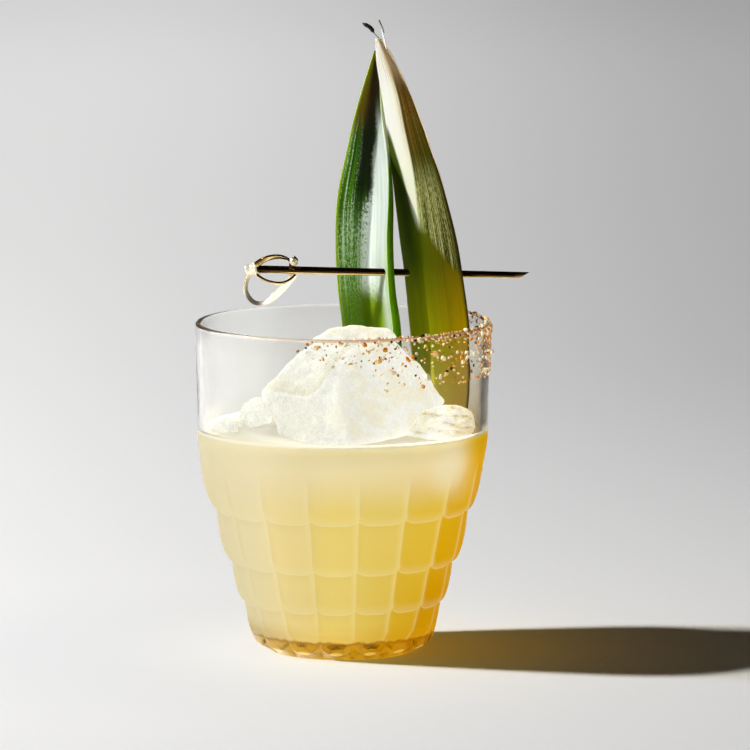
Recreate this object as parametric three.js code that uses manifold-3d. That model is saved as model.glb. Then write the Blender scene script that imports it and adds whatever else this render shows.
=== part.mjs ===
// Pineapple lime cocktail in its glass: a pressed tumbler of four tiled tiers, filled with
// a cloudy drink and rough ice, with two pineapple leaves held by a knotted brass pick and
// coarse spice along one side of the rim.
// Millimetres, +Z up. The origin is the centre of the glass's foot, and -Y faces the viewer.

import * as THREE from 'three';
import { ConvexGeometry } from 'three/addons/geometries/ConvexGeometry.js';
import { mergeVertices } from 'three/addons/utils/BufferGeometryUtils.js';
import Module from 'manifold-3d';

const wasm = await Module();
wasm.setup();

const { degToRad, lerp, smoothstep } = THREE.MathUtils;

// Gap that touching pieces keep
const clearance = 0.3;

// Glass: outside
const glassHeight = 95.4;
const rimRadius = 42.5;
const rimRounding = 0.6;
const footRadius = 21.5;
const facetCount = 16;
const facetTurn = degToRad(7.5);
const columnsPerFacet = 5;
const seamLift = 1.5;
const footLift = 3;
const cornerSharpness = 4;
const tiers = [
  { top: 62, bottom: 41.35, radius: 41.9, taper: 1.9, seamRadius: 36.8, lift: seamLift },
  { top: 41.35, bottom: 26.2, radius: 36.8, taper: 1.55, seamRadius: 32.3, lift: seamLift },
  { top: 26.2, bottom: 14.45, radius: 32.3, taper: 1.4, seamRadius: 28.8, lift: seamLift },
  { top: 14.45, bottom: 2.2, radius: 28.8, taper: 1.9, seamRadius: 25.2, lift: footLift },
];
const tierRows = [0.4, 0.7, 0.9, 1];

// Glass: inside, as radius at height from the mouth down to the floor
const mouthRadius = 40.8;
const innerWall = [
  { radius: 39.9, z: 62 },
  { radius: 34.8, z: 41.35 },
  { radius: 30.3, z: 26.2 },
  { radius: 26.7, z: 14.45 },
  { radius: 24.4, z: 8.6 },
  { radius: 21.2, z: 6 },
];
const floorHeight = 5.5;

// Spice grains, by zone of the rim: azimuth runs from the front towards +X
const grainSeed = 41;
const grainSink = 0.3;
const grainZones = [
  { count: 16, from: -17, to: 12, reach: 11, size: 1.25 },
  { count: 44, from: 14, to: 96, reach: 14, size: 1.35 },
  { count: 12, from: 96, to: 126, reach: 6, size: 1.2 },
  { count: 14, from: 20, to: 120, reach: 0.5, size: 1.15 },
];

// Drink
const drinkLevel = 64.05;
const drinkSides = 64;

// Ice
const block = [
  [-4.5, 3, 93.6], [13.6, 7, 93.4], [16.6, 5.5, 89.8], [5, 9, 93],
  [-9.4, 1, 90.4], [-15.5, -1, 84.2], [-20.1, -3, 77.8], [-24.1, -4, 75],
  [-21.2, -6.5, 70.6], [-17.8, -9.5, 64], [-1.9, -15, 83.8], [-9, -20, 78.2],
  [-10.6, -31, 64], [0.4, -36.5, 64], [9.2, -29, 63], [21.7, 3, 83.7], [30.2, 3.5, 71.6],
  [14, 10.5, 62], [27.5, 6.5, 70], [-14, 8, 74], [-12, 9, 60],
  [-9, -24, 48], [2, -29, 46], [12, -12, 48], [9, 6, 46], [-9, 3, 46],
];
const chips = {
  ice_chip_right: [
    [17.5, -9, 66], [20.5, -6, 69.6], [26, -6.5, 71.8], [32.5, -7, 72.4], [37.2, -6, 70.6],
    [37.9, -10, 66], [35.6, -17, 64.5], [29.8, -25.6, 62.5], [23, -22, 63.4], [18, -15, 61],
    [30, -12, 57], [24, -10, 58],
  ],
  ice_chip_left: [
    [-31.4, 4, 66], [-28.6, 3, 71.4], [-25.2, 5, 73], [-21.4, 8, 71.6], [-20.6, 12, 65],
    [-25, 14, 67], [-30, 11, 64.5], [-27, 1.5, 63.5], [-24, 7, 58], [-28, 9, 59],
  ],
  ice_chip_thin: [
    [-38.4, -3, 64.6], [-36.2, -4, 66.8], [-32.8, -5, 68.4], [-30.2, -7, 66], [-29.6, -4, 63],
    [-33, -10, 63.6], [-37, -7, 63], [-33.4, -2.2, 66], [-34, -5, 60.5],
  ],
};

// Leaves: stations from the tip down, each a height and the places, left to right, of the
// lines that the leaf's walls run between
const leftLeaf = {
  stations: [
    { z: 169.5, lines: [[8.2, 25.6], [8.8, 26.2], [9.4, 25.8], [9.7, 25.2]] },
    { z: 154, lines: [[3.9, 26.6], [8.2, 29], [11.7, 26.8], [10.9, 25.8]] },
    { z: 139.4, lines: [[0.7, 28.8], [8.4, 31.2], [13.2, 21], [12.5, 19.2]] },
    { z: 127.8, lines: [[-1.7, 30.2], [8, 32.6], [14, 20.4], [13, 18]] },
    { z: 116, lines: [[-2.2, 31], [7.4, 33.4], [14.2, 19.5], [12.4, 17]] },
    { z: 101.6, lines: [[-1.6, 31.4], [6.6, 34], [14.9, 19.2], [13, 16.9]] },
    { z: 90, lines: [[-0.2, 31.4], [6.6, 34], [16.4, 19], [14.5, 17]] },
    { z: 70, lines: [[1.4, 30.6], [7.4, 33], [17, 20], [15.4, 18.4]] },
    { z: 52, lines: [[3, 28.4], [7.8, 30.4], [15.6, 20.6], [14.4, 19.2]] },
  ],
  roundness: 0.8,
  columnsPerWall: 4,
  rows: 20,
};
const rightLeaf = {
  stations: [
    { z: 175.4, lines: [[9.4, 20.3], [10.2, 19.6], [11.2, 19.8]] },
    { z: 168.5, lines: [[9.8, 20.8], [13, 17.6], [15.2, 18.4]] },
    { z: 160.3, lines: [[11.1, 21.4], [16, 16.2], [19.4, 17.6]] },
    { z: 149.5, lines: [[12.8, 22], [18.2, 15], [23.4, 16.6]] },
    { z: 136, lines: [[14.6, 24], [20.8, 14], [28.2, 15.4]] },
    { z: 118, lines: [[16.6, 23], [22.8, 13], [33, 14]] },
    { z: 106, lines: [[18.1, 23], [24, 12.5], [34.9, 13]] },
    { z: 90, lines: [[19.7, 23], [25.6, 12], [36.9, 11.6]] },
    { z: 75, lines: [[21, 22.4], [27, 12], [37.3, 11]] },
    { z: 60, lines: [[22.4, 21], [28, 12], [35.6, 11.6]] },
    { z: 50, lines: [[23.4, 19.6], [28, 12.4], [33, 12.4]] },
  ],
  roundness: 0.35,
  columnsPerWall: 4,
  rows: 24,
};
const leafThickness = 0.9;
const dryTips = [
  { from: [10.9, 19.9, 174.6], over: [8.6, 20, 176.9], to: [5.6, 20.4, 179.8], thick: 0.55 },
  { from: [11.6, 19.8, 173.6], over: [11.9, 19.8, 177.2], to: [10.6, 20.2, 180.4], thick: 0.4 },
];

// Pick: its own X runs along the rod to the point and its own Z points up; its origin is on
// the rod's axis under the knob
const pickPlace = { x: -14, y: 31.2, z: 106.5, yaw: -17.9, rise: 0.9 };
const rodRadius = 1.05;
const rodStart = -13.4;
const rodEnd = 71.5;
const rodCutAngle = 58;
const rodSides = 12;
const bandWidth = 0.85;
const bandThickness = 0.5;
const pickBands = [
  // upper side of the eye, ending in the knob in front of the rod
  [[-13, 0.2, 0], [-11, -1.1, 2.1], [-7.4, -1.5, 4], [-3.4, -1.5, 4.5], [-0.8, -1.3, 3.6], [0.6, -1.3, 1.6]],
  // lower side of the eye, ending behind the rod
  [[-13, -0.2, 0], [-11, -1.1, -1.9], [-7.3, -1.4, -3.5], [-3.3, -0.6, -3.7], [-0.6, 1, -1.8], [0.2, 1.2, 0]],
  // hanging ring, from the knot round to the back of the rod
  [[-13.2, 0.4, 0], [-15.2, 0.8, -3.4], [-15.6, 1.2, -7], [-13.4, 1.6, -9.9], [-10.6, 1.9, -10.1],
    [-7.4, 1.9, -8.2], [-4, 1.7, -5.1], [-1.4, 1.5, -2.2], [0.4, 1.2, 0.2]],
];
const knots = [
  { at: [-13, 0, 0.1], radii: [1.9, 1.7, 1.9] },
  { at: [0.9, -1.3, 3], radii: [1.2, 1.1, 1.3] },
];

// Makes a repeatable stream of numbers from 0 to 1
function randomStream(seed) {
  let state = seed;
  return () => {
    state = (state * 16807) % 2147483647;
    return state / 2147483647;
  };
}

// Closed three.js geometry as a solid that can be joined and cut
function toSolid(geometry) {
  const plain = geometry.clone();
  plain.deleteAttribute('normal');
  plain.deleteAttribute('uv');
  const merged = mergeVertices(plain, 1e-4);
  return new wasm.Manifold(new wasm.Mesh({
    numProp: 3,
    vertProperties: merged.attributes.position.array,
    triVerts: new Uint32Array(merged.index.array),
  }));
}

function toGeometry(solid) {
  const mesh = solid.getMesh();
  const geometry = new THREE.BufferGeometry();
  geometry.setAttribute('position', new THREE.BufferAttribute(mesh.vertProperties, 3));
  geometry.setIndex(new THREE.BufferAttribute(mesh.triVerts, 1));
  geometry.computeVertexNormals();
  return geometry;
}

function indexedGeometry(points, triangles) {
  const geometry = new THREE.BufferGeometry();
  geometry.setAttribute('position', new THREE.Float32BufferAttribute(points.flat(), 3));
  geometry.setIndex(triangles.flat());
  return geometry;
}

// Point at an azimuth from the front towards +X
function polar(radius, azimuth, z) {
  return [radius * Math.sin(azimuth), -radius * Math.cos(azimuth), z];
}

// Closed body round Z from a lower pole, through rings that give {radius, z} at an azimuth,
// to an upper pole
function revolve(rings, columns, startZ, endZ) {
  const points = [[0, 0, startZ]];
  for (const ring of rings) {
    for (let column = 0; column < columns; column++) {
      const azimuth = facetTurn + (column / columns) * Math.PI * 2;
      const { radius, z } = ring(azimuth);
      points.push(polar(radius, azimuth, z));
    }
  }
  const endPole = points.push([0, 0, endZ]) - 1;
  const at = (row, column) => 1 + row * columns + (column % columns);
  const triangles = [];
  for (let column = 0; column < columns; column++) {
    triangles.push([0, at(0, column + 1), at(0, column)]);
    for (let row = 0; row < rings.length - 1; row++) {
      triangles.push([at(row, column), at(row, column + 1), at(row + 1, column + 1)]);
      triangles.push([at(row, column), at(row + 1, column + 1), at(row + 1, column)]);
    }
    const last = rings.length - 1;
    triangles.push([at(last, column), at(last, column + 1), endPole]);
  }
  return indexedGeometry(points, triangles);
}

// Place across a tile: -1 and 1 at its ridges, 0 at its middle
function acrossTile(azimuth) {
  const tile = (azimuth - facetTurn) / (Math.PI * 2 / facetCount);
  return 2 * (tile - Math.floor(tile + 1e-9)) - 1;
}

// Outer surface of a tier: down is 0 at its top seam and 1 at its bottom seam. Seams climb
// towards the ridges, which rounds the tiles' corners.
function tierPoint(tier, above, down, azimuth) {
  const across = acrossTile(azimuth);
  const corner = Math.abs(across) ** cornerSharpness;
  const top = tier.top + (above ? above.lift * corner : 0);
  const bottom = tier.bottom + tier.lift * corner;
  const bulge = Math.sqrt(1 - down ** 4);
  const round = tier.seamRadius + (tier.radius - tier.taper * down - tier.seamRadius) * bulge;
  const half = Math.PI / facetCount;
  const chord = Math.cos(half) / Math.cos(half * across);
  const flatness = above ? 1 : smoothstep(down, 0, 0.6);
  return { radius: round * lerp(1, chord, flatness), z: lerp(top, bottom, down) };
}

function glassShell() {
  const rings = [() => ({ radius: footRadius, z: 0 })];
  for (let level = tiers.length - 1; level >= 0; level--) {
    for (const down of [...tierRows].reverse()) {
      rings.push((azimuth) => tierPoint(tiers[level], tiers[level - 1], down, azimuth));
    }
  }
  const wall = [
    { radius: tiers[0].radius, z: tiers[0].top },
    { radius: rimRadius, z: glassHeight - rimRounding },
    { radius: rimRadius - rimRounding, z: glassHeight },
    { radius: mouthRadius + rimRounding, z: glassHeight },
    { radius: mouthRadius, z: glassHeight - rimRounding },
    ...innerWall,
  ];
  for (const point of wall) {
    rings.push(() => point);
  }
  return toSolid(revolve(rings, facetCount * columnsPerFacet, 0, floorHeight));
}

// Radius of the plain upper wall outside
function plainWallRadius(z) {
  return lerp(tiers[0].radius, rimRadius, (z - tiers[0].top) / (glassHeight - tiers[0].top));
}

// One rough grain: an eight-sided lump with uneven corners
function grain(random, size, place, turn) {
  const lump = new THREE.OctahedronGeometry(size / 2, 0);
  const merged = mergeVertices(lump.deleteAttribute('normal').deleteAttribute('uv'), 1e-4);
  const position = merged.attributes.position;
  for (let corner = 0; corner < position.count; corner++) {
    const stretch = 0.75 + 0.5 * random();
    position.setXYZ(corner, position.getX(corner) * stretch, position.getY(corner) * stretch,
      position.getZ(corner) * stretch);
  }
  merged.rotateX(turn * 3.1).rotateZ(turn * 6.2).translate(...place);
  return toSolid(merged);
}

function withGrains(shell) {
  const random = randomStream(grainSeed);
  const grains = [];
  for (const zone of grainZones) {
    for (let index = 0; index < zone.count; index++) {
      const azimuth = degToRad(lerp(zone.from, zone.to, (index + random()) / zone.count));
      const depth = zone.reach * random() ** 1.5;
      const size = zone.size * (0.7 + 0.5 * random());
      const onTop = zone.reach < 1;
      const z = onTop ? glassHeight + grainSink * size : glassHeight - rimRounding - depth;
      const radius = onTop ? lerp(mouthRadius, rimRadius, 0.5)
        : plainWallRadius(z) + (0.5 - grainSink) * size;
      grains.push(grain(random, size, polar(radius, azimuth, z), random()));
    }
  }
  return wasm.Manifold.union([shell, ...grains]);
}

// Inside of the glass up to a level, smaller by the given gap
function fillOfGlass(level, gap) {
  const profile = innerWall.filter((point) => point.z < level);
  const above = innerWall[innerWall.length - profile.length - 1] ?? { radius: mouthRadius, z: glassHeight };
  const share = (level - profile[0].z) / (above.z - profile[0].z);
  const brim = { radius: lerp(profile[0].radius, above.radius, share), z: level };
  const rings = profile.reverse().map((point) => () => ({ radius: point.radius - gap, z: point.z + gap }));
  rings.push(() => ({ radius: brim.radius - gap, z: level }));
  return toSolid(revolve(rings, drinkSides, floorHeight + gap, level));
}

// Lump of ice with flat faces, grown on all sides by the given gap
function ice(corners, grow = 0) {
  const points = corners.map((corner) => new THREE.Vector3(...corner));
  const centre = points.reduce((sum, point) => sum.add(point), new THREE.Vector3()).divideScalar(points.length);
  for (const point of points) {
    const outward = point.clone().sub(centre);
    point.addScaledVector(outward.normalize(), grow * 1.6);
  }
  return toSolid(new ConvexGeometry(points));
}

// Spline through the same line of every station, from the tip down
function leafGuides(leaf) {
  return leaf.stations[0].lines.map((_, line) => new THREE.CatmullRomCurve3(
    leaf.stations.map((station) => new THREE.Vector3(...station.lines[line], station.z)),
  ));
}

// Middle surface of a leaf: down runs from the tip, across from the left edge
function leafPoint(leaf, guides, down, across) {
  const row = guides.map((guide) => guide.getPoint(down));
  const walls = row.length - 1;
  const wall = Math.min(Math.floor(across * walls), walls - 1);
  const flat = row[wall].clone().lerp(row[wall + 1], across * walls - wall);
  const round = new THREE.CatmullRomCurve3(row).getPoint(across);
  return flat.lerp(round, leaf.roundness);
}

// Thin solid leaf, thickest in the middle, both faces split into triangles alike
function leafBlade(leaf, grow = 0) {
  const guides = leafGuides(leaf);
  const columns = (guides.length - 1) * leaf.columnsPerWall;
  const step = 1e-3;
  const front = [];
  const back = [];
  for (let row = 0; row <= leaf.rows; row++) {
    const down = row / leaf.rows;
    for (let column = 0; column <= columns; column++) {
      const across = column / columns;
      const inside = [lerp(step, 1 - step, down), lerp(step, 1 - step, across)];
      const along = leafPoint(leaf, guides, inside[0] + step, inside[1])
        .sub(leafPoint(leaf, guides, inside[0] - step, inside[1]));
      const sideways = leafPoint(leaf, guides, inside[0], inside[1] + step)
        .sub(leafPoint(leaf, guides, inside[0], inside[1] - step));
      const facing = sideways.clone().cross(along).normalize();
      const half = leafThickness / 2 * (0.55 + 0.45 * Math.sin(Math.PI * across)) + grow;
      const outward = column === 0 ? -grow : column === columns ? grow : 0;
      const middle = leafPoint(leaf, guides, down, across);
      middle.z -= row === leaf.rows ? 2 * grow : 0;
      middle.addScaledVector(sideways.normalize(), outward);
      front.push(middle.clone().addScaledVector(facing, half).toArray());
      back.push(middle.clone().addScaledVector(facing, -half).toArray());
    }
  }
  const width = columns + 1;
  const faceSize = front.length;
  const at = (row, column) => row * width + column;
  const triangles = [];
  const quad = (a, b, c, d) => triangles.push([a, b, c], [a, c, d]);
  for (let row = 0; row < leaf.rows; row++) {
    for (let column = 0; column < columns; column++) {
      const corners = [at(row, column), at(row + 1, column), at(row + 1, column + 1), at(row, column + 1)];
      const [a, b, c, d] = corners;
      triangles.push([a, c, b], [a, d, c]);
      triangles.push([a + faceSize, b + faceSize, c + faceSize], [a + faceSize, c + faceSize, d + faceSize]);
    }
    quad(at(row, 0), at(row + 1, 0), at(row + 1, 0) + faceSize, at(row, 0) + faceSize);
    quad(at(row, columns) + faceSize, at(row + 1, columns) + faceSize, at(row + 1, columns), at(row, columns));
  }
  for (let column = 0; column < columns; column++) {
    quad(at(0, column) + faceSize, at(0, column + 1) + faceSize, at(0, column + 1), at(0, column));
    quad(at(leaf.rows, column), at(leaf.rows, column + 1), at(leaf.rows, column + 1) + faceSize,
      at(leaf.rows, column) + faceSize);
  }
  return toSolid(indexedGeometry([...front, ...back], triangles));
}

// Closed bar of an oval section along a smooth path
function bar(points, halfWidth, halfThickness, sides, steps) {
  const section = new THREE.Shape(
    Array.from({ length: sides }, (_, side) => {
      const angle = (side / sides) * Math.PI * 2;
      return new THREE.Vector2(halfThickness * Math.cos(angle), halfWidth * Math.sin(angle));
    }),
  );
  const path = new THREE.CatmullRomCurve3(points.map((point) => new THREE.Vector3(...point)));
  return toSolid(new THREE.ExtrudeGeometry(section, { extrudePath: path, steps, bevelEnabled: false }));
}

function dryTip({ from, over, to, thick }) {
  return bar([from, over, to], thick, thick, 5, 5);
}

function moved(solid, { x, y, z, yaw, rise }) {
  const matrix = new THREE.Matrix4().makeRotationFromEuler(
    new THREE.Euler(0, degToRad(-rise), degToRad(yaw), 'ZYX'),
  );
  matrix.setPosition(x, y, z);
  return solid.transform(matrix.elements);
}

// Rod of the pick, cut off at a slant, in the pick's own frame
function pickRod(radius) {
  const length = rodEnd - rodStart;
  const cylinder = new THREE.CylinderGeometry(radius, radius, length, rodSides);
  cylinder.rotateZ(Math.PI / 2).translate(rodStart + length / 2, 0, 0);
  const cutter = new THREE.BoxGeometry(10, 10, 20);
  cutter.translate(5, 0, 0).rotateY(degToRad(rodCutAngle)).translate(rodEnd, 0, radius);
  return toSolid(cylinder).subtract(toSolid(cutter));
}

function knottedPick() {
  const bands = pickBands.map((points) => bar(points, bandWidth, bandThickness, 8, points.length * 3));
  const lumps = knots.map(({ at, radii }) => toSolid(
    new THREE.SphereGeometry(1, 10, 7).scale(...radii).translate(...at),
  ));
  return moved(wasm.Manifold.union([pickRod(rodRadius), ...bands, ...lumps]), pickPlace);
}

const rodHole = moved(pickRod(rodRadius + clearance), pickPlace);
const blockBody = ice(block);
const blockRoom = ice(block, clearance);
const leaves = {
  leaf_left: leafBlade(leftLeaf).subtract(rodHole),
  leaf_right: wasm.Manifold.union([leafBlade(rightLeaf), ...dryTips.map(dryTip)]).subtract(rodHole),
};
const chipBodies = Object.fromEntries(
  Object.entries(chips).map(([name, corners]) => [name, ice(corners).subtract(blockRoom)]),
);
const drinkRoom = [
  blockRoom,
  ...Object.values(chips).map((corners) => ice(corners, clearance)),
  leafBlade(leftLeaf, clearance),
  leafBlade(rightLeaf, clearance),
];

const finishes = {
  glass: { color: 0xf3efe2, roughness: 0.05, metalness: 0, transparent: true, opacity: 0.35 },
  drink: { color: 0xead27a, roughness: 0.25, metalness: 0 },
  ice: { color: 0xeef0e6, roughness: 0.35, metalness: 0 },
  leaf_left: { color: 0x5f8a3c, roughness: 0.4, metalness: 0 },
  leaf_right: { color: 0x8a8a3c, roughness: 0.45, metalness: 0 },
  pick: { color: 0xb58a3e, roughness: 0.2, metalness: 1 },
};

const cocktail = new THREE.Group();

function addPiece(name, solid, finish) {
  const piece = new THREE.Mesh(toGeometry(solid), new THREE.MeshStandardMaterial(finish));
  piece.name = name;
  cocktail.add(piece);
}

addPiece('glass', withGrains(glassShell()), finishes.glass);
addPiece('drink', fillOfGlass(drinkLevel, clearance).subtract(wasm.Manifold.union(drinkRoom)), finishes.drink);
addPiece('ice_block', blockBody, finishes.ice);
for (const [name, body] of Object.entries(chipBodies)) {
  addPiece(name, body, finishes.ice);
}
for (const [name, body] of Object.entries(leaves)) {
  addPiece(name, body, finishes[name]);
}
addPiece('pick', knottedPick(), finishes.pick);

export default cocktail;
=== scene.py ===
"""Pineapple lime cocktail: the looks of a tiled tumbler of cloudy drink, ice, leaves and a brass pick.

Sizes are in millimetres, as in the part, and every mesh is made in metres round the part's origin:
the centre of the glass's foot, +Z up and -Y towards the viewer.
"""

import math
import random

import bmesh
import bpy
import numpy as np
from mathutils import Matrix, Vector


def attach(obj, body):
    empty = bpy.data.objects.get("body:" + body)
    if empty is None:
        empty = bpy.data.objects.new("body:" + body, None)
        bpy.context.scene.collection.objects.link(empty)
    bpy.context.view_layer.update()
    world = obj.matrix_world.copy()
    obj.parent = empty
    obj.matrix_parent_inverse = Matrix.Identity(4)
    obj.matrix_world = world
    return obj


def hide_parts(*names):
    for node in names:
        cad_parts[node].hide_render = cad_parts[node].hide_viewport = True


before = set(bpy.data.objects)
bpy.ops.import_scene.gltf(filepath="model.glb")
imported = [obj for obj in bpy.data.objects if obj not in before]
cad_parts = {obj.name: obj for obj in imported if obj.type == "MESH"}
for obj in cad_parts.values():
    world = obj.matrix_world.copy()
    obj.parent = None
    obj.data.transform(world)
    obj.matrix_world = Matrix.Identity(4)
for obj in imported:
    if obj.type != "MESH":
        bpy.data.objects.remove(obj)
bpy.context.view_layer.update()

MM = 0.001

# Glass
GLASS_HEIGHT = 95.4
RIM_RADIUS = 42.5
MOUTH_RADIUS = 40.8
FOOT_RADIUS = 21.5
FLOOR_HEIGHT = 5.5
FACETS = 16
FACET_STEP = 2 * math.pi / FACETS
FACET_TURN = math.radians(7.5)
SEAM_LIFT = 1.5
FOOT_LIFT = 3.0
CORNER_SHARPNESS = 4
RIDGE_ROUNDING = 0.05
TIERS = (
    {"top": 62.0, "bottom": 41.35, "radius": 41.9, "taper": 1.9, "seam": 36.8, "lift": SEAM_LIFT},
    {"top": 41.35, "bottom": 26.2, "radius": 36.8, "taper": 1.55, "seam": 32.3, "lift": SEAM_LIFT},
    {"top": 26.2, "bottom": 14.45, "radius": 32.3, "taper": 1.4, "seam": 28.8, "lift": SEAM_LIFT},
    {"top": 14.45, "bottom": 2.2, "radius": 28.8, "taper": 1.9, "seam": 25.2, "lift": FOOT_LIFT},
)
INNER_WALL = (
    (MOUTH_RADIUS, 94.5), (39.9, 62), (34.8, 41.35), (30.3, 26.2), (26.7, 14.45), (24.4, 8.6), (21.2, 6),
)
COLUMNS_PER_FACET = 16
ROWS_PER_TIER = 22
# Rings of the underside from the middle out, each a radius and how far the star is pressed in
FOOT_STAR = ((3, 0.3), (9, 0.8), (15, 0.8), (18.5, 0.6))

# Drink
DRINK_LEVEL = 64.05
DRINK_COLUMNS = 192
WALL_OVERLAP = 0.2
MENISCUS_HEIGHT = 1.1
MENISCUS_REACH = 0.9
SURFACE_STEPS = (0.3, 0.6, 0.9, 1.3, 1.8, 2.5, 3.5, 5, 8, 12, 18, 26, 34)
SURFACE_SWELL = 0.12

# Share of the drink's and the ice's colour that comes from lamps; the rest is a painted glow that stands
# for scattered light
DRINK_DIFFUSE = 0.45
ICE_DIFFUSE = 0.42

# Ice, as the corners of each lump; each kind of dent has its size and depth
BLOCK_ICE = {"cell": 0.8, "softenings": 30, "dents": ((8, 1.5), (3, 0.7), (1.2, 0.2))}
CHIP_ICE = {"cell": 0.45, "softenings": 8, "dents": ((4, 0.7), (1.5, 0.3))}
ICE_BLOCK = (
    (-4.5, 3, 93.6), (13.6, 7, 93.4), (16.6, 5.5, 89.8), (5, 9, 93),
    (-9.4, 1, 90.4), (-15.5, -1, 84.2), (-20.1, -3, 77.8), (-24.1, -4, 75),
    (-21.2, -6.5, 70.6), (-17.8, -9.5, 64), (-1.9, -15, 83.8), (-9, -20, 78.2),
    (-10.6, -31, 64), (0.4, -36.5, 64), (9.2, -29, 63), (21.7, 3, 83.7), (30.2, 3.5, 71.6),
    (14, 10.5, 62), (27.5, 6.5, 70), (-14, 8, 74), (-12, 9, 60),
    (-9, -24, 48), (2, -29, 46), (12, -12, 48), (9, 6, 46), (-9, 3, 46),
)
ICE_CHIPS = {
    "ice_chip_right": (
        (17.5, -9, 66), (20.5, -6, 69.6), (26, -6.5, 71.8), (32.5, -7, 72.4), (37.2, -6, 70.6),
        (37.9, -10, 66), (35.6, -17, 64.5), (29.8, -25.6, 62.5), (23, -22, 63.4), (18, -15, 61),
        (30, -12, 57), (24, -10, 58),
    ),
    "ice_chip_left": (
        (-31.4, 4, 66), (-28.6, 3, 71.4), (-25.2, 5, 73), (-21.4, 8, 71.6), (-20.6, 12, 65),
        (-25, 14, 67), (-30, 11, 64.5), (-27, 1.5, 63.5), (-24, 7, 58), (-28, 9, 59),
    ),
    "ice_chip_thin": (
        (-38.4, -3, 64.6), (-36.2, -4, 66.8), (-32.8, -5, 68.4), (-30.2, -7, 66), (-29.6, -4, 63),
        (-33, -10, 63.6), (-37, -7, 63), (-33.4, -2.2, 66), (-34, -5, 60.5),
    ),
}

# Leaves: stations from the tip down, each a height and the lines that the walls run between
LEFT_LEAF = (
    (171.3, ((9.1, 25.6), (9.6, 26.1), (10.1, 25.9), (10.4, 25.3))),
    (154, ((3.9, 27.4), (7.6, 29.2), (11.7, 26.4), (11.2, 25.4))),
    (141, ((0.9, 29.5), (7.2, 31.2), (13.2, 23.6), (12.9, 22.8))),
    (129, ((-1.5, 30.6), (6.6, 32.7), (14.1, 17), (13.3, 13.8))),
    (116, ((-2.2, 31.4), (6.2, 33.6), (14.4, 15.8), (13, 12.4))),
    (101.6, ((-1.6, 31.6), (5.8, 34), (15, 16), (13.3, 12.4))),
    (90, ((-0.2, 31.4), (6, 34), (16.4, 16.4), (14.7, 12.8))),
    (70, ((1.4, 30.6), (7.2, 33), (17, 18.6), (15.4, 16.4))),
    (52, ((3, 28.4), (7.8, 30.4), (15.6, 19.6), (14.4, 17.8))),
)
RIGHT_LEAF = (
    (175.4, ((9.4, 20.3), (10.2, 19.6), (11.2, 19.8))),
    (168.5, ((9.8, 20.8), (13, 17.6), (15.2, 17.6))),
    (160.3, ((11.1, 21.4), (16, 16.2), (19.4, 15.6))),
    (149.5, ((12.8, 22), (18.2, 15), (23.4, 13.4))),
    (136, ((14.2, 24), (20.8, 14), (28.2, 11.6))),
    (118, ((16.3, 23), (22.8, 13), (33, 10.4))),
    (106, ((18.1, 23), (24, 12.5), (34.9, 9.6))),
    (90, ((19.7, 23), (25.6, 12), (36.9, 8.8))),
    (75, ((21, 22.4), (27, 12), (37.3, 9))),
    (60, ((22.4, 21), (28, 12), (35.6, 10))),
    (50, ((23.4, 19.6), (28, 12.4), (33, 11))),
)
LEAF_THICKNESS = 0.8

# Dry fibres at the tip of the right leaf; each strand has its place down the margin, length and reach
DARK_TIP = ((11.1, 19.9, 175), (9.3, 20, 176.7), (8, 20.1, 178.5), (5.7, 20.4, 179.8))
GREY_TIP = ((12, 19.8, 177), (11.4, 19.9, 178.8), (10.8, 20, 180), (10.5, 20.1, 180.7))
SHRED = ((11.3, 19.7, 178), (12, 19.6, 175.6), (12.6, 19.2, 173), (12.9, 18.8, 170.6))
STRANDS = ((0.02, 0.1, 0.2), (0.09, 0.12, 0.15), (0.17, 0.12, 0.18), (0.25, 0.1, 0.12), (0.31, 0.12, 0.1))
STRAND_TWIST = 30

# Spice: the part draws its grains from its own stream of numbers, and spends some more on each lump
SPICE_SEED = 41
STREAM_FACTOR = 16807
STREAM_LENGTH = 2147483647
DRAWS_PER_LUMP = 7
DUST_SEED = 5
KIND_SEED = 23
GRAIN_SINK = 0.3
GRAIN_UNEVENNESS = 1.5

# Zones of spice, each a count of grains, its azimuths in degrees, reach below the rim and grain size
SPICE_ZONES = (
    (16, -17, 12, 11, 1.25), (44, 14, 96, 14, 1.35), (12, 96, 126, 6, 1.2), (14, 20, 120, 0.5, 1.15),
)
DUST_ZONES = (
    (60, -14, 14, 6, 0.66), (420, 12, 100, 15, 0.78), (60, 96, 126, 7, 0.7), (120, 4, 122, 0.5, 0.7),
)
# Kinds of grain, each with its share of all, dark and light tone and roughness
SPICE_KINDS = (
    ("cream", 0.4, (246, 220, 170), (255, 248, 224), 0.5),
    ("peach", 0.2, (242, 186, 104), (252, 216, 146), 0.5),
    ("orange", 0.2, (206, 124, 30), (236, 166, 66), 0.45),
    ("rust", 0.14, (142, 82, 14), (196, 126, 34), 0.5),
    ("black", 0.06, (16, 10, 8), (48, 32, 20), 0.4),
)

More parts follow.
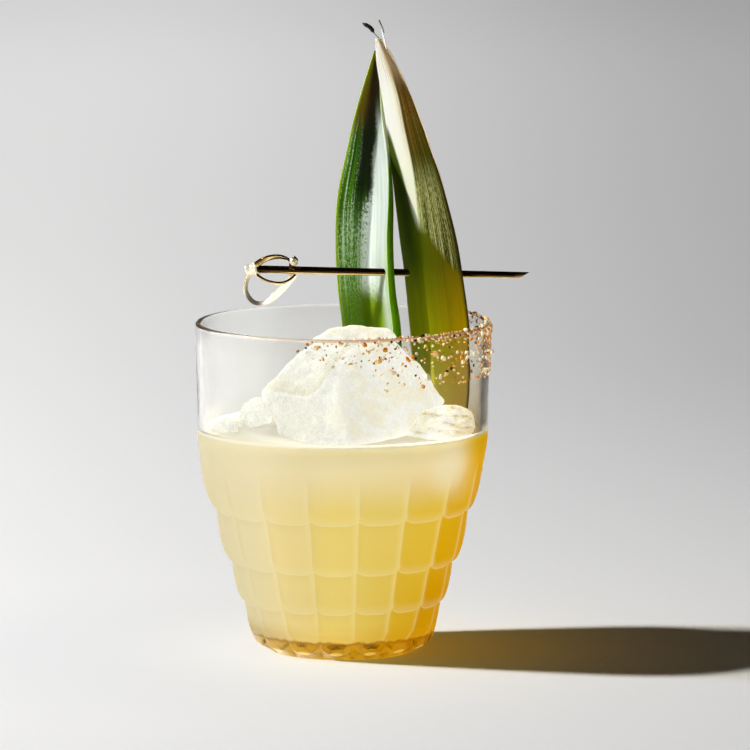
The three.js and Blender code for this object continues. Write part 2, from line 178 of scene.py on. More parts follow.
# Pick, in its own frame: X along the rod to the point, Z up
PICK_PLACE = (-14, 31.2, 106.5)
PICK_YAW = math.radians(-17.9)
PICK_RISE = math.radians(0.9)
ROD_RADIUS = 1.2
ROD_END_RADIUS = 0.95
ROD_START = -13.4
ROD_END = 71.5
ROD_CUT_ANGLE = math.radians(58)
EYE_TOP = (
    (-13, 0.2, 0), (-11, -1.1, 1.9), (-7.6, -1.5, 3.6),
    (-3.9, -1.5, 4), (-1.5, -1.3, 3.1), (-0.4, -1.3, 1.2),
)
EYE_BOTTOM = (
    (-13, -0.2, 0), (-11, -1.1, -1.9), (-7.3, -1.4, -3.5),
    (-3.3, -0.6, -3.7), (-0.6, 1, -1.8), (0.2, 1.2, 0),
)
RING = (
    (-13.2, 0.4, 0), (-15.2, 0.8, -3.4), (-15.6, 1.2, -7), (-13.4, 1.6, -9.9), (-10.6, 1.9, -10.1),
    (-7.4, 1.9, -8.2), (-4, 1.7, -5.1), (-1.4, 1.5, -2.2), (0.4, 1.2, 0.2),
)
WRAP = (
    (-14.6, 0.6, 1.3), (-14.2, -1.4, 0.8), (-13.8, -1.6, -0.8), (-13.5, 0, -1.7), (-13.1, 1.5, -0.6),
    (-12.7, 1.3, 1), (-12.3, -0.4, 1.7), (-11.8, -1.6, 0.5), (-11.5, -1.2, -1.2), (-11.3, 0.2, -1.6),
)
STUB = ((-0.5, -1.5, 0.6), (-0.4, -1.5, 1.8), (0, -1.5, 3.0), (0.9, -1.4, 3.8))
KNOT = {"centre": (-13, 0, 0.1), "radii": (1.7, 1.5, 1.6)}
KNOB = {"centre": (0.1, -1.5, 2.7), "radii": (1.25, 1.2, 1.3)}

# Camera: fitted to the rim, the drink's level, the seams and the foot
VIEW_DISTANCE = 2200
VIEW_ELEVATION = math.radians(7.62)
VIEW_AIM = (9.35, 0, 79.8)
PIXELS_PER_MM = 3.467
IMAGE_SIDE = 750
SENSOR = 36

# Lamps: the key stands far off at the left, turned a little behind the glass
LAMP_AIM = (0, 0, 60)
KEY_TURN = math.radians(3)
KEY_RISE = math.radians(36)
KEY_DISTANCE = 1700
FILL_PLACE = (500, -2600, 700)


class Field:
    """A value on a node socket. Sums with numbers and other fields add Math nodes."""

    def __init__(self, graph, socket):
        self.graph = graph
        self.socket = socket

    def math(self, operation, *others):
        return self.graph.math(operation, self, *others)

    def __add__(self, other):
        return self.math("ADD", other)

    def __sub__(self, other):
        return self.math("SUBTRACT", other)

    def __mul__(self, other):
        return self.math("MULTIPLY", other)

    def __truediv__(self, other):
        return self.math("DIVIDE", other)

    def __pow__(self, other):
        return self.math("POWER", other)

    def __rsub__(self, other):
        return self.graph.math("SUBTRACT", other, self)

    def __rtruediv__(self, other):
        return self.graph.math("DIVIDE", other, self)

    __radd__ = __add__
    __rmul__ = __mul__

    def clamped(self):
        """Kept from 0 to 1."""
        return self.math("MINIMUM", 1.0).math("MAXIMUM", 0.0)

    def step(self, low, high):
        """0 below low, 1 above high and smooth between; low may be above high."""
        settings = {"interpolation_type": "SMOOTHSTEP"}
        return self.graph.node("ShaderNodeMapRange", settings, {0: self, 1: low, 2: high, 3: 0.0, 4: 1.0})


class Graph:
    """The nodes of one material or node group, with one method that adds any node."""

    def __init__(self, tree):
        self.tree = tree
        tree.nodes.clear()

    def node(self, kind, settings=None, inputs=None, output=0):
        made = self.tree.nodes.new(kind)
        for name, value in (settings or {}).items():
            if name == "stops":
                self.fill_ramp(made.color_ramp, value)
            else:
                setattr(made, name, value)
        for name, value in (inputs or {}).items():
            if isinstance(value, Field):
                self.tree.links.new(value.socket, made.inputs[name])
            else:
                made.inputs[name].default_value = value
        return Field(self, made.outputs[output]) if made.outputs else None

    @staticmethod
    def fill_ramp(ramp, stops):
        while len(ramp.elements) < len(stops):
            ramp.elements.new(0.5)
        for element, (place, colour) in zip(ramp.elements, stops):
            element.position = place
            element.color = colour

    def mix(self, factor, first, second):
        settings = {"data_type": "RGBA", "clamp_factor": True}
        return self.node("ShaderNodeMix", settings, {0: factor, 6: first, 7: second}, output=2)

    def ramp(self, factor, *stops):
        return self.node("ShaderNodeValToRGB", {"stops": stops}, {"Fac": factor})

    def math(self, operation, *values):
        return self.node("ShaderNodeMath", {"operation": operation}, dict(enumerate(values)))

    def vector(self, operation, first, second):
        """Vector Math of two vectors, or of a vector and a number where the operation is SCALE."""
        place = 3 if operation == "SCALE" else 1
        return self.node("ShaderNodeVectorMath", {"operation": operation}, {0: first, place: second})

    def split(self, vector):
        """The three parts of a vector."""
        first = self.node("ShaderNodeSeparateXYZ", None, {0: vector})
        return tuple(Field(self, output) for output in first.socket.node.outputs)

    def entry(self, name):
        """A named input of this node group."""
        return self.node("NodeGroupInput", None, None, name)

    def place(self):
        """Object coordinates, in millimetres."""
        spot = self.node("ShaderNodeTexCoord", None, None, "Object")
        return self.vector("SCALE", spot, 1 / MM)

    def noise(self, vector, scale, detail=2.0, roughness=0.5, stretch=None):
        if stretch:
            vector = self.vector("MULTIPLY", vector, stretch)
        sockets = {"Vector": vector, "Scale": scale, "Detail": detail, "Roughness": roughness}
        return self.node("ShaderNodeTexNoise", None, sockets)

    def bump(self, height, distance, strength=1.0, normal=None):
        sockets = {"Height": height, "Distance": distance * MM, "Strength": strength}
        if normal:
            sockets["Normal"] = normal
        return self.node("ShaderNodeBump", None, sockets)


def srgb(red, green, blue):
    """Linear colour of a screen colour given from 0 to 255."""
    parts = []
    for part in (red, green, blue):
        part /= 255
        parts.append(part / 12.92 if part <= 0.04045 else ((part + 0.055) / 1.055) ** 2.4)
    return (*parts, 1.0)


BLACK = (0.0, 0.0, 0.0, 1.0)


def material(name):
    """New material and the graph of its nodes."""
    made = bpy.data.materials.new(name)
    made.use_nodes = True
    return made, Graph(made.node_tree)


def surface(graph, shader, volume=None):
    """Shader as the material's surface. Sockets alone, given as a dictionary, make a principled one."""
    if isinstance(shader, dict):
        shader = graph.node("ShaderNodeBsdfPrincipled", None, shader)
    sockets = {"Surface": shader}
    if volume:
        sockets["Volume"] = volume
    graph.node("ShaderNodeOutputMaterial", None, sockets)


def lets_lamps_through(graph, shader, tint):
    """Shader that shadow rays and bounced light pass straight, so that lamps light what is behind
    clear glass or ice once and evenly."""
    shadow = graph.node("ShaderNodeLightPath", None, None, "Is Shadow Ray")
    bounced = graph.node("ShaderNodeLightPath", None, None, "Is Diffuse Ray")
    clear = graph.node("ShaderNodeBsdfTransparent", None, {"Color": tint})
    either = shadow.math("MAXIMUM", bounced)
    return graph.node("ShaderNodeMixShader", None, {0: either, 1: shader, 2: clear})


def tile_fields(x, y, step=FACET_STEP, turn=FACET_TURN):
    """Place across a tile, -1 and 1 at its ridges, and the azimuth of the tile's middle."""
    azimuth = x.math("ARCTAN2", y * -1.0)
    cell = (azimuth - turn) / step
    middle = (cell.math("FLOOR") + 0.5) * step + turn
    return cell.math("FRACT") * 2.0 - 1.0, middle


def glass_finish():
    """Clear glass. Its thick base is tinted and made to glow with a painted amber pattern of facets, lines
    and highlights, standing for the drink's light seen through it; its right side is tinted warm as painted
    light from the drink, its front rim carries a painted brown reflection of the drink and a slight painted
    glow, and its left wall above the drink a slight painted sheen. Against the drink it only bends light,
    so that the drink's colour reaches its very edge."""
    made, graph = material("clear_glass")
    spot = graph.place()
    x, y, z = graph.split(spot)
    ripple = graph.noise(spot, 0.12, 1.0)
    front = y.step(12.0, -8.0)
    # painted reflection: a brown line along the front of the rim, standing for the drink seen in it
    rim = z.step(GLASS_HEIGHT - 1.1, GLASS_HEIGHT - 0.5) * x.step(-45.0, 20.0) * front
    colour = graph.mix(rim * 0.95, srgb(252, 252, 249), srgb(150, 84, 34))
    radius = (x * x + y * y).math("SQRT")
    wobble = graph.noise(spot, 0.35, 2.0)
    edge = z + (wobble - 0.5) * 1.6
    # painted light: the base is tinted and glows amber, with darker facet lines, patches and bright ovals,
    # standing for the drink's light seen through it
    base = edge.step(6.5, 5.6) * radius.step(20.4, 21.2)
    lit_by_drink = x.step(24.0, 40.0) * z.step(92.0, 66.0)
    colour = graph.mix(lit_by_drink * 0.5, colour, srgb(244, 218, 160))
    colour = graph.mix(base, colour, srgb(104, 74, 6))
    across, _ = tile_fields(x, y)
    off_middle = across.math("ABSOLUTE") + (wobble - 0.5) * 0.3
    rising = (edge - 0.4 - off_middle * 4.4).math("ABSOLUTE").step(0.8, 0.1)
    falling = (edge - 4.6 + off_middle * 3.4).math("ABSOLUTE").step(0.7, 0.1)
    # painted highlight: a bright oval low in each tile of the base
    painted_eye_highlight = ((across * 2.2) ** 2.0 + ((z - 2.2) * 1.3) ** 2.0).step(1.0, 0.35)
    amber = graph.ramp(
        x * 0.02 + 0.5, (0.05, srgb(196, 172, 116)), (0.2, srgb(182, 148, 56)), (0.36, srgb(164, 122, 8)),
        (0.6, srgb(152, 108, 0)), (0.78, srgb(168, 120, 0)), (0.95, srgb(118, 76, 0)),
    )
    patches = graph.noise(spot, 0.28, 2.0)
    amber = graph.mix((rising + falling).clamped() * patches.step(0.4, 0.6) * 0.8, amber, srgb(104, 64, 2))
    amber = graph.mix(patches.step(0.55, 0.42) * 0.4, amber, srgb(204, 156, 30))
    amber = graph.mix(painted_eye_highlight * 0.7, amber, srgb(244, 214, 104))
    amber = graph.mix(edge.step(4.7, 5.5) * 0.8, amber, srgb(126, 84, 6))
    # painted glow: a slight warm glow along the top of the front rim
    painted_rim_glow = z.step(GLASS_HEIGHT - 1.3, GLASS_HEIGHT - 0.5) * front * 0.1
    glow = graph.mix(painted_rim_glow, BLACK, srgb(226, 190, 150))
    above_drink = z.step(DRINK_LEVEL + 2.0, DRINK_LEVEL + 8.0)
    # painted sheen: a slight white glow on the left wall above the drink
    painted_left_wall_sheen = x.step(-12.0, -27.0) * x.step(-41.5, -35.0) * above_drink * 0.036
    glow = graph.mix(painted_left_wall_sheen, glow, srgb(250, 252, 255))
    shader = graph.node("ShaderNodeBsdfPrincipled", None, {
        "Base Color": colour, "Roughness": ripple * 0.02 + 0.005, "IOR": 1.5,
        "Transmission Weight": 1.0, "Specular Tint": (0.3, 0.28, 0.22, 1.0),
        "Normal": graph.bump(ripple, 0.15, 0.3),
        "Emission Color": graph.mix(base * 0.68, glow, amber), "Emission Strength": 1.0,
    })
    wet = z.step(DRINK_LEVEL + 1.4, DRINK_LEVEL - 0.4) * (1.0 - base)
    against_drink = graph.node("ShaderNodeBsdfRefraction", None, {
        "Color": srgb(252, 250, 244), "Roughness": 0.01, "IOR": 1.5,
    })
    shader = graph.node("ShaderNodeMixShader", None, {0: wet * 0.92, 1: shader, 2: against_drink})
    tint = graph.node("ShaderNodeVolumeAbsorption", None, {"Color": srgb(240, 222, 180), "Density": 14.0})
    surface(graph, lets_lamps_through(graph, shader, srgb(251, 251, 248)), tint)
    return made


def drink_finish():
    """Cloudy drink, painted pale at the left, where the light enters, and deep gold at the right, as
    painted light. Each tile of the glass is painted one tone, with painted shade along its upper and left
    edges and painted highlights along its lower and right edges, its ridges and its seams. Part of the
    colour is a painted glow that stands for light scattered right through the drink."""
    made, graph = material("cloudy_drink")
    spot = graph.place()
    x, y, z = graph.split(spot)
    across, middle = tile_fields(x, y)
    radius = (x * x + y * y).math("SQRT")
    off_middle = across.math("ABSOLUTE")
    corner = off_middle ** CORNER_SHARPNESS
    tiled = z.step(58.0, 50.0)
    plain_side = x / radius.math("MAXIMUM", 20.0)
    cloud = graph.noise(spot, 0.045, 3.0)
    stepped = tiled * (x.step(4.0, 18.0) * 0.4 + 0.45)
    # painted light: the tone runs from pale at the left, where the light enters, to deep gold at the right,
    # stepped tile by tile
    side = plain_side + (middle.math("SINE") - plain_side) * stepped + (cloud - 0.5) * 0.16
    side = side + (46.0 - z) * 0.004
    body = graph.ramp(
        side * 0.5 + 0.5,
        (0.0, srgb(236, 227, 192)), (0.125, srgb(239, 228, 188)), (0.28, srgb(240, 222, 160)),
        (0.467, srgb(235, 213, 126)), (0.66, srgb(228, 203, 106)), (0.83, srgb(223, 188, 64)),
        (0.95, srgb(215, 167, 12)), (1.0, srgb(208, 152, 3)),
    )
    low_edge, high_edge, seams = 0.0, 0.0, 0.0
    for tier in TIERS[:3]:
        above = z - (corner * tier["lift"] + tier["bottom"])
        low_edge = above.step(3.4, 0.2) * above.step(-0.3, 0.1) + low_edge
        high_edge = above.step(-4.0, -0.3) * above.step(0.1, -0.3) + high_edge
        seams = above.math("ABSOLUTE").step(0.5, 0.1) + seams
    right_edge = across.step(0.66, 1.0) * tiled
    left_edge = across.step(-0.62, -1.0) * tiled
    pale = (low_edge * low_edge + right_edge * right_edge).math("SQRT").clamped()
    dark = (high_edge * high_edge + left_edge * left_edge).math("SQRT").clamped() * (1.0 - pale)
    # painted shade along each tile's upper and left edges, painted highlights along its lower and right
    # edges and in thin lines on its ridges and seams
    body = graph.mix(dark * 0.1, body, srgb(210, 170, 52))
    body = graph.mix(pale * 0.17, body, srgb(248, 238, 200))
    lines = (off_middle ** 24.0 * tiled * 0.1 + seams * 0.14).clamped()
    body = graph.mix(lines, body, srgb(250, 242, 208))
    body = graph.mix(z.step(12.0, 6.5) * 0.3, body, srgb(206, 156, 22))
    patch = ((x - 30.0) ** 2.0 + (y + 25.0) ** 2.0 + (z - 57.0) ** 2.0).math("SQRT")
    body = graph.mix(patch.step(11.0, 2.0) * 0.5, body, srgb(240, 228, 190))
    skin = z.step(DRINK_LEVEL - 0.5, DRINK_LEVEL + 0.5)
    # painted light: the upper part is paler, except at the far right
    body = graph.mix(z.step(43.0, 60.0) * x.step(38.0, 30.0) * 0.6, body, srgb(234, 227, 204))
    # the pale top surface, painted paler towards the left as light
    body = graph.mix(skin * (x.step(30.0, 5.0) * 0.35 + 0.45), body, srgb(246, 247, 242))
    wall_line = skin * radius.step(38.0, 39.8)
    # painted shade along the line where the surface meets the wall, warmer at the right
    body = graph.mix(wall_line * 0.5, body, srgb(214, 198, 152))
    body = graph.mix(wall_line * x.step(8.0, 30.0) * 0.4, body, srgb(218, 190, 120))
    speckle = graph.noise(spot, 1.4, 2.0)
    # painted glow: the share of the colour given off as glow, standing for light scattered through the
    # drink; more towards the right, less low down and just under the surface, more on the top surface at
    # the left and less along the wall line
    shares = ((0.0, 0.26), (0.05, 0.36), (0.2, 0.6), (0.45, 0.8), (0.7, 0.84), (0.85, 0.9), (1.0, 1.0))
    stops = [(place, (share, share, share, 1.0)) for place, share in shares]
    painted_glow_share = graph.ramp(plain_side * 0.5 + 0.5, *stops)
    painted_glow_share = painted_glow_share * (1.0 - z.step(34.0, 6.0) * 0.09) * (1.0 - z.step(56.0, 63.6) * 0.26)
    painted_glow_share = painted_glow_share + skin * (x.step(16.0, -18.0) * 0.44 - 0.1 - x.step(18.0, 32.0) * 0.06)
    painted_glow_share = painted_glow_share - wall_line * (x.step(-38.0, -10.0) * 0.2 + 0.12)
    shader = graph.node("ShaderNodeBsdfPrincipled", None, {
        "Base Color": graph.mix(DRINK_DIFFUSE, BLACK, body),
        "Roughness": speckle * 0.2 + 0.55 - skin * 0.43, "IOR": 1.33,
        "Specular IOR Level": 0.1, "Subsurface Weight": 1.0, "Subsurface Radius": (1.0, 0.9, 0.5),
        "Subsurface Scale": 0.04, "Normal": graph.bump(cloud, 0.4, 0.3),
        "Emission Color": graph.mix(painted_glow_share, BLACK, body), "Emission Strength": 1.0,
    })
    surface(graph, shader)
    return made


def ice_finish(name, clarity, facets, glints):
    """Frosty ice with soft facets of white and warm tones, painted warmer to the right as light from the
    drink shining into it, with painted shade under its left ledge, a painted highlight on the ledge's
    ridge, painted glints and a painted glow.
    Clarity is how much light goes straight through; facets and glints are shares too."""
    made, graph = material(name)
    spot = graph.place()
    x, _, z = graph.split(spot)
    normal = graph.node("ShaderNodeNewGeometry", None, None, "Normal")
    rightward, _, _ = graph.split(normal)
    frost = graph.noise(spot, 0.16, 3.0, 0.55)
    fine = graph.noise(spot, 1.6, 3.0, 0.65)
    swirl = graph.node("ShaderNodeTexNoise", None, {"Vector": spot, "Scale": 0.3, "Detail": 2.0}, "Color")
    bent = graph.vector("ADD", spot, graph.vector("SCALE", swirl, 5.0))
    cells = graph.node("ShaderNodeTexVoronoi", None, {"Vector": bent, "Scale": 0.16}, "Color")
    cell, cell_warmth, _ = graph.split(cells)
    # warm patches, partly painted light: stronger to the right, where the drink's light is painted into the
    # ice
    warm = frost.step(0.42, 0.58) * (0.25 + x.step(-6.0, 10.0) * 0.75)
    warm = (warm * 0.8 + (cell_warmth - 0.5) * facets * 0.8 + z.step(89.0, 92.5) * 0.6).clamped()
    white = graph.mix(cell * facets, srgb(246, 247, 242), srgb(222, 222, 208))
    colour = graph.mix(warm * 0.6, white, srgb(236, 226, 190))
    ridge_height = x.step(-11.0, 5.0) * 14.0 + 76.2 + (fine - 0.5) * 0.8
    above = z - ridge_height
    fold_span = x.step(-24.0, -18.0) * x.step(4.0, 1.0)
    # painted shade under the ledge on the left side
    painted_fold_shading = above.step(-0.3, 0.4) * above.step(5.0, 0.4) * fold_span
    colour = graph.mix(painted_fold_shading * 0.4, colour, srgb(214, 208, 166))
    # painted highlight along the ledge's ridge
    painted_crest_highlight = above.math("ABSOLUTE").step(1.1, 0.2) * above.step(0.3, -0.3) * fold_span
    colour = graph.mix(painted_crest_highlight * 0.7, colour, srgb(255, 255, 252))
    streak = graph.noise(spot, 0.7, 3.0, 0.6, (0.35, 0.5, 1.1))
    # painted glints: white streaks; the yellow streaks are streaks inside the ice
    colour = graph.mix(streak.step(0.52, 0.6) * glints, colour, srgb(255, 255, 252))
    colour = graph.mix(streak.step(0.42, 0.36) * glints, colour, srgb(196, 172, 70))
    foot = z.step(DRINK_LEVEL + 1.4, DRINK_LEVEL + 0.6) * 0.6
    colour = graph.mix(foot, colour, srgb(252, 252, 246))
    rough = 0.5 + fine * 0.15
    dents = graph.bump(frost, 4.0, 0.7, graph.bump(fine, 0.5, 0.6))
    # painted glow by facing: facets turned to the right glow more and those turned left less, with more
    # glow to the right and random mottling
    rightward = rightward + (frost - 0.5) * 1.8
    painted_glow_share = rightward.step(-0.75, 0.25) * 0.24 + x.step(-20.0, 4.0) * 0.26 + 0.36
    painted_glow_share = painted_glow_share + x.step(2.0, 14.0) * 0.08 - z.step(88.0, 93.0) * 0.07
    painted_glow_share = painted_glow_share + (fine - 0.5) * 0.6 + (cell - 0.5) * facets * 0.2
    shader = graph.node("ShaderNodeBsdfPrincipled", None, {
        "Base Color": graph.mix(ICE_DIFFUSE, BLACK, colour),
        "Roughness": rough * (1.1 - clarity), "IOR": 1.31,
        "Transmission Weight": clarity, "Subsurface Weight": 1.0,
        "Subsurface Radius": (1.0, 1.0, 0.94), "Subsurface Scale": 0.012, "Normal": dents,
        "Emission Color": graph.mix(painted_glow_share * (1.0 - clarity * 0.25), BLACK, colour),
        "Emission Strength": 1.0,
    })
    surface(graph, lets_lamps_through(graph, shader, srgb(205, 206, 200)))
    return made


def blade_fields(graph):
    """Across and down a leaf, from its own map: 0 to 1 from the left edge and from the tip."""
    spot = graph.node("ShaderNodeUVMap", {"uv_map": "blade"})
    across, down, _ = graph.split(spot)
    return spot, across, down


def streaks(graph, spot, fine, seed):
    """Lengthwise streaks; fine is how many fit across."""
    shifted = graph.vector("ADD", spot, (seed, seed, 0.0))
    return graph.noise(shifted, 1.0, 3.0, 0.55, (fine, 2.4, 0.0))


def left_leaf_finish():
    """Dark green channel: whitish streaks on its left wall, partly bloom and partly painted gloss; a crease
    painted near black as shade; a lit wall painted pale where the light falls on it; a bright curled
    margin; painted rim light on its edges; a dry tip painted near black on its shaded inner side; and a
    slight painted glow that is stronger where the wall turns."""
    made, graph = material("green_leaf")
    spot, across, down = blade_fields(graph)
    fine = streaks(graph, spot, 38.0, 3.0)
    broad = streaks(graph, spot, 14.0, 11.0)
    bloom = graph.noise(spot, 1.0, 4.0, 0.7, (36.0, 90.0, 0.0))
    specks = graph.noise(spot, 1.0, 3.0, 0.7, (70.0, 130.0, 0.0))
    low = (down + (bloom - 0.5) * 0.08).step(0.6, 0.68)
    green = graph.mix(broad.step(0.35, 0.65), srgb(34, 78, 2), srgb(84, 136, 14))
    green = graph.mix(down.step(0.42, 0.6) * 0.4, green, srgb(126, 176, 60))
    left_wall = across.step(0.36, 0.3)
    inner = across.step(0.27, 0.2) + down.step(0.36, 0.5)
    dusty = bloom.step(0.44, 0.6) * down.step(0.4, 0.5) * down.step(0.85, 0.62) * left_wall
    green = graph.mix(dusty * 0.6, green, srgb(206, 226, 190))
    # painted shade: a near-black band along the crease
    crease = (across + (fine - 0.5) * 0.1).step(0.15, 0.24) * across.step(0.54, 0.47) * down.step(0.5, 0.34)
    green = graph.mix(crease * 0.95, green, srgb(14, 24, 0))
    # whitish streaks on the left wall: partly the leaf's bloom, partly painted gloss
    bloom_and_painted_gloss = (fine + (specks - 0.5) * 0.7).step(0.55, 0.63) * left_wall * down.step(0.1, 0.2)
    green = graph.mix(bloom_and_painted_gloss * inner.clamped() * (0.9 - crease * 0.6), green, srgb(214, 228, 204))
    lower = down.step(0.34, 0.46)
    ragged = across + ((fine - 0.5) * 0.2 + (bloom - 0.5) * 0.4) * (lower + 0.25) + lower * 0.1
    ragged = ragged - down.step(0.27, 0.18) * 0.07
    # painted light: the wall that faces the lamp is painted pale, a lit copy of the green, with a ragged
    # edge
    lit_wall = ragged.step(0.385, 0.445) * across.step(0.7, 0.66) * down.step(0.08, 0.16)
    painted_lit_wall_tone = graph.mix(fine.step(0.35, 0.7), srgb(190, 196, 194), srgb(166, 180, 162))
    edge_band = across.step(0.48, 0.57)
    painted_lit_wall_tone = graph.mix(low * (1.0 - edge_band), painted_lit_wall_tone, srgb(108, 136, 6))
    painted_lit_wall_tone = graph.mix(down.step(0.46, 0.56) * edge_band * 0.3, painted_lit_wall_tone, srgb(150, 186, 110))
    green = graph.mix(lit_wall, green, painted_lit_wall_tone)
    strip = across.step(0.67, 0.7)
    strip_green = graph.mix(down.step(0.35, 0.7), srgb(60, 96, 8), srgb(104, 154, 4))
    strip_edge = across.step(0.8, 0.92) * down.step(0.3, 0.6)
    strip_green = graph.mix(strip_edge * 0.5, strip_green, srgb(150, 190, 40))
    strip_green = graph.mix(down.step(0.3, 0.2), strip_green, srgb(230, 238, 214))
    green = graph.mix(strip, green, strip_green)
    green = graph.mix(low * 0.7 * left_wall, green, srgb(118, 150, 10))
    # dry tip: brown, and near black on its inner side as painted shade
    dry = (down + (across - 0.2) * 0.12).step(0.22, 0.1)
    green = graph.mix(dry, green, graph.mix(across.step(0.1, 0.4), srgb(122, 96, 24), srgb(46, 30, 2)))
    # painted rim light: both edges painted light green
    rim = across.step(0.97, 1.0) * 0.5 + across.step(0.05, 0.0)
    green = graph.mix(rim * 0.8, green, srgb(170, 196, 60))
    rough = 0.34 + fine * 0.2 + dusty * 0.15
    ribs = graph.bump(fine, 0.1, 0.5, graph.bump(broad, 0.2, 0.4))
    # painted glow: the whole leaf glows slightly, standing for light through it, and more where the wall
    # turns between the crease and the lit wall
    painted_fold_shading = across.step(0.27, 0.33) * across.step(0.5, 0.42) * down.step(0.26, 0.42) * low.step(1.0, 0.0)
    faint_painted_glow = graph.mix(0.9, green, BLACK)
    surface(graph, {
        "Base Color": green, "Roughness": rough, "IOR": 1.45, "Specular IOR Level": 0.12,
        "Subsurface Weight": 0.3, "Subsurface Radius": (0.7, 1.0, 0.2), "Subsurface Scale": 0.002,
        "Emission Color": graph.mix(painted_fold_shading, faint_painted_glow, green), "Emission Strength": 0.6, "Normal": ribs,
    })
    return made


def right_leaf_finish():
    """Keeled leaf: above a painted shadow line, a cream left face painted as lit and a brown right face,
    both partly dry, whose pale fibres are brightened as painted grazing light; below it, saturated olive in
    the other leaf's shadow, painted darker at the left and lighter further down as light from below;
    painted rim light on the lower left edge, painted shade on the right margin and a slight painted glow
    all over."""
    made, graph = material("dry_tipped_leaf")
    spot, across, down = blade_fields(graph)
    fine = streaks(graph, spot, 52.0, 5.0)
    broad = streaks(graph, spot, 14.0, 17.0)
    specks = graph.noise(spot, 1.0, 3.0, 0.7, (80.0, 120.0, 0.0))
    # painted light: the green and olive grow lighter further down, where light from the ice and drink below
    # reaches the leaf
    rise = down.step(0.54, 0.72)
    olive = graph.mix(rise, srgb(120, 106, 0), srgb(184, 154, 0))
    green = graph.mix(rise, srgb(82, 100, 2), srgb(160, 172, 4))
    leaf = graph.mix((across + down * 0.3).step(0.5, 1.2), green, olive)
    leaf = graph.mix(broad.step(0.3, 0.7) * 0.2, leaf, srgb(70, 78, 0))
    # painted shadow line: the edge of the other leaf's shadow, across the left face, the keel and the right
    # face
    shade_line = down + across.step(0.3, 0.0) * 0.035
    shade_line = shade_line - across.step(0.0, 0.5) * 0.14 - across.step(0.5, 1.0) * 0.1
    keel = across.step(0.47, 0.52)
    # pale fibres on the right face, brightened as painted grazing light just above the shadow line
    fibres_and_painted_grazing_light = (fine * 0.6 + specks * 0.4).step(0.42, 0.6) * down.step(0.35, 0.44) * across.step(1.0, 0.86)
    upper = graph.mix(fine.step(0.4, 0.7) * 0.3, srgb(56, 56, 0), srgb(140, 134, 50))
    upper = graph.mix(fibres_and_painted_grazing_light * 0.8, upper, srgb(216, 222, 140))
    # painted light: above the shadow line the left face is painted pale as lit, the right face olive-brown
    upper = graph.mix(keel, srgb(206, 208, 184), upper)
    leaf = graph.mix(shade_line.step(0.355, 0.325), leaf, upper)
    cream = graph.mix(fine.step(0.5, 0.7) * 0.5, srgb(208, 208, 200), srgb(196, 184, 138))
    cream = graph.mix(across.step(0.32, 0.48) * 0.7, cream, srgb(196, 192, 150))
    keel_streak = across.step(0.38, 0.5) * (fine * 0.5 + specks * 0.5).step(0.44, 0.54)
    cream = graph.mix(keel_streak * 0.6, cream, srgb(160, 126, 56))
    brown = graph.mix(fine.step(0.4, 0.7) * specks.step(0.35, 0.6), srgb(94, 68, 4), srgb(168, 136, 66))
    brown = graph.mix(across.step(0.66, 0.52) * 0.5, brown, srgb(76, 54, 6))
    brown = graph.mix((down + (fine - 0.5) * 0.2).step(0.19, 0.1) * 0.85, brown, srgb(218, 196, 150))
    # dry colours, partly the dry tissue and partly painted light: the cream left face is the lit face, the
    # brown right face the one in grazing light, and both stop at the painted shadow line
    dry = graph.mix(keel, cream, brown)
    dry_and_lit_share = (down + (broad - 0.5) * 0.1 + (across - 0.5) * 0.1).step(0.42, 0.24)
    leaf = graph.mix(dry_and_lit_share * shade_line.step(0.36, 0.33), leaf, dry)
    # painted shadow: dark green just under the shadow line at the left
    gloom = shade_line.step(0.32, 0.345) * shade_line.step(0.56, 0.4) * across.step(0.5, 0.2)
    leaf = graph.mix(gloom * 0.75, leaf, srgb(30, 46, 4))
    tip = down.step(0.2, 0.06)
    leaf = graph.mix(tip * fine.step(0.5, 0.6) * 0.7, leaf, srgb(150, 104, 34))
    leaf = graph.mix(tip * fine.step(0.46, 0.38) * 0.7, leaf, srgb(236, 216, 206))
    frayed = across.step(0.86, 0.97) * down.step(0.22, 0.12)
    leaf = graph.mix(frayed * (0.5 + fine * 0.6), leaf, srgb(222, 200, 164))
    haze = down.step(0.7, 0.86)
    leaf = graph.mix(haze * 0.6, leaf, srgb(214, 190, 110))
    # painted rim light along the lower left edge
    rim = across.step(0.05, 0.0) * down.step(0.4, 0.7)
    leaf = graph.mix(rim * 0.5, leaf, srgb(196, 196, 110))
    # painted shade on the right margin below the tip
    margin = across.step(0.95, 0.99) * down.step(0.16, 0.22)
    leaf = graph.mix(margin * 0.9, leaf, srgb(38, 34, 4))
    ribs = graph.bump(fine, 0.08, 0.5, graph.bump(broad, 0.15, 0.3))
    # painted glow: a tenth of the leaf's colour glows, standing for light through the leaf
    surface(graph, {
        "Base Color": leaf, "Roughness": 0.5 + fine * 0.2, "IOR": 1.45, "Specular IOR Level": 0.05,
        "Subsurface Weight": 0.3, "Subsurface Radius": (1.0, 0.8, 0.1), "Subsurface Scale": 0.002,
        "Emission Color": leaf, "Emission Strength": 0.1, "Normal": ribs,
    })
    return made


def dry_fibre_finish(name, dark, light, glow):
    """Dull dry fibre; glow is its share of painted glow, standing for light that comes through from behind.
    """
    made, graph = material(name)
    grain = graph.noise(graph.place(), 2.5, 3.0)
    colour = graph.mix(grain, dark, light)
    surface(graph, {
        "Base Color": colour, "Roughness": 0.6 + grain * 0.2, "Normal": graph.bump(grain, 0.15, 0.6),
        "Emission Color": colour, "Emission Strength": glow,
    })
    return made


